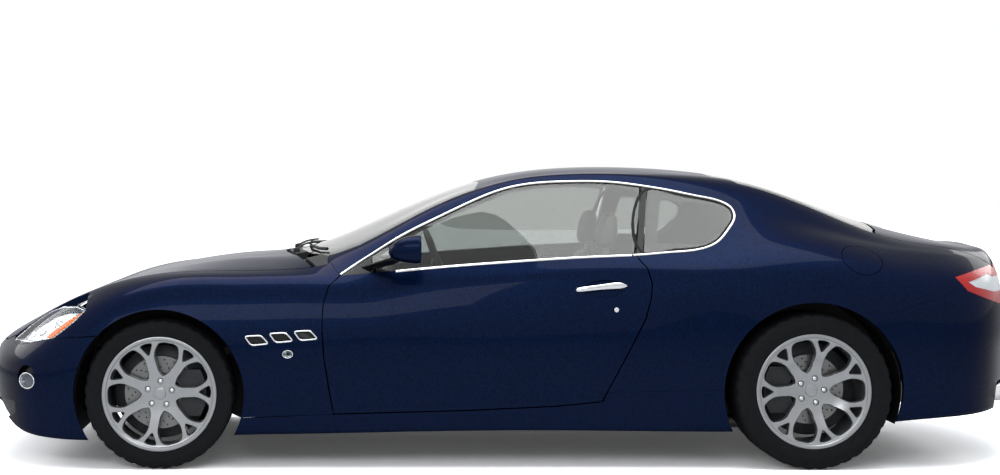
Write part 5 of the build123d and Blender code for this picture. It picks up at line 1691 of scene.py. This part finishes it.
cushion_cover = blown(pad_mesh(front_cushion, 7.0, 28), 0.009, 3.0, 0.006)
back_cover = blown(pad_mesh(front_back, 6.0, 28), 0.009, 3.0, 0.006)
head_cover = blown(pad_mesh(head_pad, 3.0, 18), 0.007, 4.0, 0.006)
rear_cushion_cover = blown(pad_mesh(rear_cushion, 6.0, 22), 0.009, 3.0, 0.006)
rear_back_cover = blown(pad_mesh(rear_back, 6.0, 22), 0.009, 3.0, 0.006)
rear_head_cover = blown(pad_mesh(rear_head, 3.5, 16), 0.007, 4.0, 0.005)
for side, sign in SIDES[::-1]:
    hang_pad(
        "front_cushion_" + side, cushion_cover, sign * SEAT_Y, False, "front_seats" if sign < 0 else None
    )
    hang_pad("front_backrest_" + side, back_cover, sign * SEAT_Y)
    hang_pad("front_head_pad_" + side, head_cover, sign * SEAT_Y)
    hang_pad("rear_cushion_" + side, rear_cushion_cover, 0, sign < 0, "rear_seats" if sign < 0 else None)
    hang_pad("rear_backrest_" + side, rear_back_cover, 0, sign < 0)
    hang_pad("rear_head_pad_" + side, rear_head_cover, 0, sign < 0)
print("padded pieces 12")


# %% Seat shells, posts and welts
def tube(name, points, radius, material, body, closed=False, step=14.0, flat=1.0, around=10):
    """A round or flattened bar along a smooth line through points in millimetres."""
    line = [Vector(p) * MM for p in smooth_line(points, step, closed)]
    normals = []
    for i, p in enumerate(line):
        ahead = line[(i + 1) % len(line)] if closed else line[min(i + 1, len(line) - 1)]
        behind = line[i - 1] if closed or i else line[0]
        along = (ahead - behind).normalized()
        up = Vector((0, 0, 1)) if abs(along.z) < 0.9 else Vector((1, 0, 0))
        normals.append((up - along * up.dot(along)).normalized())
    section = [(radius * math.cos(t), radius * flat * math.sin(t)) for t in circle(around)]
    thing = sweep(name, line, normals, section, material, body, closed)
    return thing


for side, sign in SIDES[::-1]:
    y = sign * SEAT_Y
    shell = pad_mesh(lambda u, v, w: (75 + 225 * v, y + 215 * u, 268 + 62 * w), 6.0, 8)
    shell = dress_mesh("seat_base_" + side, shell, grained_plastic, "car", smooth=60)
    for k, across in enumerate((-45, 45)):
        tube(
            f"head_post_{k}_{side}",
            [(508, y + across, 920), (515, y + across, 960), (520, y + across, 1005)], 6.5, chrome, "car",
        )
    for k, across in enumerate((-190, 190)):
        tube(
            f"seat_rail_{k}_{side}",
            [(-150, y + across, 205), (60, y + across, 205), (270, y + across, 205)], 14, forged_steel,
            "car", flat=0.6
        )
    for u in (-0.58, 0.58):
        line = []
        for v in np.linspace(-0.8, 0.86, 9):
            p = front_back(u, v, 0.96)
            line.append((p[0] - 6.5, y + p[1], p[2]))
        tube(
            f"back_welt_{'in' if u < 0 else 'out'}_{side}", line, 2.4, stitching, "car",
            step=20
        )
        line = [
            (70 + 235 * v, y + 238 * u, front_cushion(u, v, 0.999)[2] + 5.0)
            for v in np.linspace(-0.8, 0.72, 8)
        ]
        tube(
            f"cushion_welt_{'in' if u < 0 else 'out'}_{side}", line, 2.4, stitching, "car",
            step=20
        )
print("seat trim done")

# %% [markdown]
# ## Dashboard, console and steering wheel
# The dashboard is one long form: the same rounded section at every place across the car, pulled
# up over the instruments in front of the driver.

# %% Dashboard
DASH = [
    (-834, 590), (-838, 700), (-832, 800), (-800, 850), (-735, 884), (-640, 892), (-560, 884), (-490, 858),
    (-452, 822), (-446, 786), (-462, 750), (-505, 700), (-545, 660), (-620, 620), (-720, 590)
]
dash_line = smooth_line(DASH, 16.0, closed=True)
rings = []
for y in np.concatenate([[-676, -672], np.linspace(-655, 655, 80), [672, 676]]):
    lift = 42 * math.exp(-(((y + SEAT_Y) / 150) ** 4))
    centre_out = 26 * math.exp(-((y / 190) ** 4))
    shrink = 1.0 - 0.1 * (abs(y) > 660) - 0.5 * (abs(y) > 674)
    ring = []
    for x, z in dash_line:
        up = max(0.0, (z - 800) / 90)
        out = lift * up * (1.0 if x > -720 else max(0.0, (x + 830) / 110))
        x, z = x + centre_out * max(0.0, (x + 560) / 110) * (z < 850), z + out
        ring.append((-640 + (x + 640) * shrink, y, 740 + (z - 740) * shrink))
    rings.append(ring)
dash = lofted(rings)
dash_piece = dress_mesh("dashboard_pad", dash, [dark_leather, seat_leather], "car", smooth=50)
for polygon in dash.polygons:
    polygon.material_index = int(polygon.center.z < 0.815)
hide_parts("dashboard")
CONSOLE = [
    (-600, 96, 640), (-560, 100, 622), (-500, 104, 590), (-420, 106, 540), (-300, 104, 520),
    (-100, 100, 508), (60, 100, 512), (130, 104, 552), (250, 104, 562), (330, 100, 550), (350, 92, 520)
]
console_rings = []
for x, half, top in CONSOLE:
    ring = []
    for t in circle(40):
        c, d = math.cos(t), math.sin(t)
        up = 0.5 + 0.5 * math.copysign(abs(d) ** 0.35, d)
        ring.append((x, half * math.copysign(abs(c) ** 0.35, c), 402 + (top - 402) * up))
    console_rings.append(ring)
console_piece = dress_mesh("centre_console", lofted(console_rings), [dark_leather], "car", smooth=40)
AIR_VENTS = [
    (-620, 800, 42, 30), (-110, 806, 44, 24), (0, 806, 44, 24), (110, 806, 44, 24), (620, 800, 42, 30)
]
for k, (y, z, half_wide, half_high) in enumerate(AIR_VENTS):
    face = -449.0 if k in (0, 4) else -424.0
    ring = [(face, y + half_wide * math.cos(t), z + half_high * math.sin(t)) for t in circle(32)]
    tube(f"air_vent_rim_{k}", ring, 3.0, chrome, "car", closed=True, step=8)
    for j in range(-2, 3):
        z_here = z + j * half_high * 0.36
        reach = half_wide * math.sqrt(max(0.05, 1 - (0.36 * j) ** 2)) - 3
        blade = [(face - 2, y + across, z_here) for across in (-reach, 0, reach)]
        tube(
            f"air_vent_blade_{k}_{j + 2}", blade, 3.0, piano_black, "car", step=20, flat=0.4
        )
screen = pad_mesh(lambda u, v, w: (-428 + 5 * w, 104 * u, 742 + 34 * v), 12.0, 8)
screen = dress_mesh("console_screen", screen, dark_glass, "car", smooth=40)
for k, y in enumerate((-445, -295)):
    profile = [(-16, 58), (10, 58), (12, 55), (8, 51), (0, 48), (-2, 44), (-2, 6), (4, 5), (4, 0.5)]
    stand = (-0.478, y * MM, 0.868), (0.96, 0, 0.28)
    round_boss(f"instrument_dial_{k}", profile, stand, piano_black, "car", 48)
profile = [
    (0, 42), (4, 40), (24, 22), (48, 10), (62, 8.5), (70, 14), (84, 20), (98, 19), (108, 12), (111, 2)
]
stand = (-0.26, 0, 0.512), (-0.12, 0, 1), "X"
round_boss("gear_lever", profile, stand, dark_leather, "car", 32, smooth=50)
print("dashboard faces", len(dash.polygons))

# %% Steering wheel
TILT = math.radians(20.0)
wheel_axis = Vector((math.cos(TILT), 0, math.sin(TILT)))
wheel_centre = Vector((-285, -SEAT_Y, 885))
wheel_up = Vector((-math.sin(TILT), 0, math.cos(TILT)))
wheel_side = Vector((0, 1, 0))


def wheel_place(across, up, out):
    """A place given in the steering wheel's own plane and along its axis."""
    return wheel_centre + wheel_side * across + wheel_up * up + wheel_axis * out


points, turns, around = [], 96, 16
for i in range(turns):
    t = 2 * math.pi * i / turns
    grip = 13.2 + 1.3 * max(0.0, math.cos(4 * (t - math.pi / 4))) ** 2
    for k in range(around):
        a = 2 * math.pi * k / around
        r = 180 + grip * math.cos(a)
        points.append(tuple(wheel_place(r * math.cos(t), r * math.sin(t), grip * math.sin(a))))
rim = as_mesh("rim", points, looped(turns, around))
rim = dress_mesh("steering_rim", rim, dark_leather, "steering_wheel", smooth=60)
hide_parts("steering_wheel")


def boss_place(u, v, w):
    """The domed pad in the middle of the steering wheel."""
    dome = 22 + 6 * (1 - u * u) * (1 - v * v)
    return tuple(wheel_place(62 * u, 52 * v - 4, -6 + dome * w))


boss = pad_mesh(boss_place, 4.0, 14)
boss = dress_mesh("steering_boss", boss, dark_leather, "steering_wheel", smooth=60)
for k, degrees in enumerate((2, 178, 270)):
    t = math.radians(degrees)
    path = [
        tuple(wheel_place(r * math.cos(t), r * math.sin(t), o))
        for r, o in ((40, -14), (85, -14), (130, -8), (176, -1))
    ]
    tube(
        f"steering_spoke_{k}", path, 15, dark_leather if k < 2 else cast_alloy, "steering_wheel",
        flat=0.42, around=14
    )
shroud = pad_mesh(lambda u, v, w: tuple(wheel_place(42 * u, 36 * v - 2, -112 + 76 * w)), 4.0, 10)
shroud = dress_mesh("column_shroud", shroud, grained_plastic, "car", smooth=60)
for k, across in enumerate((-1, 1)):
    path = [tuple(wheel_place(across * a, b, -62)) for a, b in ((38, 8), (90, 16), (150, 22))]
    tube(f"column_stalk_{k}", path, 6, grained_plastic, "car", flat=0.7)
print("steering wheel done")

# %% Door armrests and pulls
for side, sign in SIDES[::-1]:
    rest = pad_mesh(lambda u, v, w: (70 + 330 * v, sign * (690 + 42 * u), 660 + 26 * w + 10 * v), 4.0, 14)
    rest = dress_mesh("door_armrest_" + side, rest, seat_leather, "door_" + side, smooth=70)
    tube(
        "door_pull_" + side,
        [(180, sign * 700, 700), (220, sign * 660, 735), (290, sign * 655, 745), (340, sign * 700, 730)], 9,
        chrome, "door_" + side
    )
print("door trim done")

# %% [markdown]
# ## Grille surround and wipers
# The bright ring round the grille is swept along the edge of the opening, on the skin of the nose.
# Each wiper has a rubber blade that lies a centimetre over the glass, and an arm that rises from
# its pivot beside the cowl and comes down on the blade's middle.

# %% The ring round the grille, and two wipers
def on_nose(y, z):
    """Point and normal of the skin seen from the front."""
    place = skin_tree.ray_cast(Vector((-4.0, y * MM, z * MM)), Vector((1, 0, 0)))[0]
    return place, skin_normal(place)


def screen_foot(y):
    """Where the windscreen's lower edge runs at a place across the car."""
    return float(np.interp(abs(y), [0, 250, 480, 655], [-955, -940, -895, -812]))


mouth_ring = MOUTH + [(-y, z) for y, z in MOUTH[::-1]]
line = [on_nose(y, z) for y, z in smooth_line(mouth_ring, 14.0, closed=True)]
surround = sweep(
    "grille_surround", [p for p, _ in line], [n for _, n in line], half_round(16, 5, 8), chrome, "car",
    closed=True
)

# Each wiper: the place of its pivot, and how far its blade reaches across the car.
WIPERS = [((-968, -300), (-560, 40)), ((-975, 120), (90, 590))]
for k, (pivot, (first, last)) in enumerate(WIPERS):
    blade = []
    for t in np.linspace(0, 1, 14):
        y = first + (last - first) * t
        place, normal = on_top(screen_foot(y) + 44, y)
        blade.append(tuple((place + normal * 0.010) / MM))
    tube(f"wiper_blade_{k}", blade, 7, rubber_seal, "car", flat=1.1, step=30)
    place, normal = on_top(*pivot)
    middle = blade[len(blade) // 2]
    foot, middle = place / MM, Vector(middle)
    knee = (foot + normal * 26) * 0.7 + middle * 0.3
    arm = [tuple(foot + normal * 10), tuple(knee), tuple(middle + Vector((-4, 0, 14)))]
    tube(f"wiper_arm_{k}", arm, 8, grained_plastic, "car", flat=0.6, step=20)
    profile = [(-4, 17), (12, 16), (18, 12), (20, 3)]
    round_boss(f"wiper_cap_{k}", profile, (place, normal), grained_plastic, "car", 28)
print("wipers done")

# %% [markdown]
# ## What shows through the wheels
# Behind the spokes stand a drilled disc and a pressed splash shield. A plastic housing lines each
# arch down to the sill, and closes the gap between the tyre and the body.

# %% Wheel housings, splash shields and drilled discs
def arc(w, radius, first, last, count=24):
    """Places in side view on a circle round a wheel's axle."""
    turns = [ray_point(radius, degrees) for degrees in np.linspace(first, last, count)]
    return [(w["x"] + a, w["z"] + b) for a, b in turns]


ARCHES = {
    "f": dict(inner=485.0, opening=FRONT_OPENING + 1, outer=866.0, down=25),
    "r": dict(inner=627.0, opening=REAR_OPENING + 1, outer=868.0, down=22)
}
DISCS = {
    "f": dict(radius=165.0, seat=32.7, body="knuckle_SIDE"), "r": dict(radius=158.0, seat=34.7, body="car")
}
for end, w in WHEELS.items():
    arch, disc = ARCHES[end], DISCS[end]
    housing = []
    for first, last in ((-arch["down"], 26), (154, 180 + arch["down"])):
        sheet = arc(w, arch["opening"], first, last) + arc(w, arch["opening"] + 4, first, last)[::-1]
        wall = arc(w, arch["opening"], first, last) + arc(w, 300, first, last)[::-1]
        housing.append(side_prism(sheet, arch["inner"], arch["outer"]))
        housing.append(side_prism(wall, arch["inner"], arch["inner"] + 3))
    housing = joined(housing)
    shield = as_mesh(
        "shield", *turned([(-17, 84), (-17, 206), (-20, 211), (-18, 212), (-15, 207), (-15, 84)], 96)
    )
    low, high, seat, r = -7.0, 23.0, disc["seat"], disc["radius"]
    profile = [(low, r - 62), (low, r - 1), (low + 1, r), (high - 1, r), (high, r - 1), (high, 90)]
    profile += [(seat, 83), (seat, 24.4), (seat - 8, 24.4), (seat - 8, 74), (low, 80)]
    rotor = as_mesh("disc", *turned(profile))
    drills = []
    for row, radius in enumerate((r - 50, r - 33, r - 16)):
        for k in range(20):
            a, b = ray_point(radius, 18 * k + 6 * row)
            hole = [(a + p, b + q) for p, q in (ray_point(3.6, t) for t in range(0, 360, 36))]
            drills.append(prism(hole, -20, 40, lambda u, v, h: (u, h, v)))
    rotor = carve(rotor, (), [joined(drills)])
    for side, sign in SIDES[::-1]:
        lining = dress_mesh(
            f"wheel_housing_{end}_{side}", mirrored(housing) if sign < 0 else housing.copy(),
            grained_plastic, "car", smooth=35
        )
        for name, mesh, material, body, slot in (
            ("splash_shield", shield, forged_steel, disc["body"].replace("SIDE", side), "frame_steel"),
            ("drilled_disc", rotor, turned_iron, f"wheel_{end}{side[0]}", "disc_steel"),
        ):
            made = at_wheel(mesh, w, sign)
            thing = dress_mesh(f"{name}_{end}_{side}", made, material, body, smooth=32)
            one_material(thing.data)
            if name == "drilled_disc":
                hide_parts(f"brake_disc_{end}{side[0]}")
print("wheel housings and discs done")

# %% Exhaust tips and the pocket they stand in
tip_profile = [
    (-104, 43.5), (94, 43.5), (102, 45.2), (107, 44.8), (109, 42.5), (107, 39.5), (94, 37.6), (-40, 37.2)
]
for side, sign in SIDES[::-1]:
    for k, y in enumerate((516, 614)):
        turn = Matrix.Translation((2.225, sign * y * MM, 0.318)) @ Matrix.Rotation(math.radians(-90), 4, "Z")
        tip = as_mesh("tip", *turned(tip_profile, 64))
        tip.transform(turn)
        tip = dress_mesh(f"exhaust_tip_{side}_{k}", tip, polished_steel, "car", smooth=40)
        baffle = as_mesh(
            "baffle", *lathe_cap([(-40, 38.6), (-36, 38.6), (-34, 30), (-40, 12), (-41, 2)], 40)
        )
        baffle.transform(turn)
        baffle = dress_mesh(f"exhaust_baffle_{side}_{k}", baffle, forged_steel, "car", smooth=40)
    back = side_prism([(2146, 236), (2150, 236), (2150, 376), (2146, 376)], 456, 674)
    ceiling = side_prism([(2146, 372), (2262, 372), (2262, 376), (2146, 376)], 456, 674)
    inner_wall = side_prism([(2150, 270), (2240, 290), (2240, 374), (2150, 374)], 456, 460)
    pocket = joined([back, ceiling, inner_wall])
    pocket = dress_mesh(
        "exhaust_pocket_" + side, mirrored(pocket) if sign < 0 else pocket, grained_plastic, "car", smooth=30
    )
print("exhaust tips done")
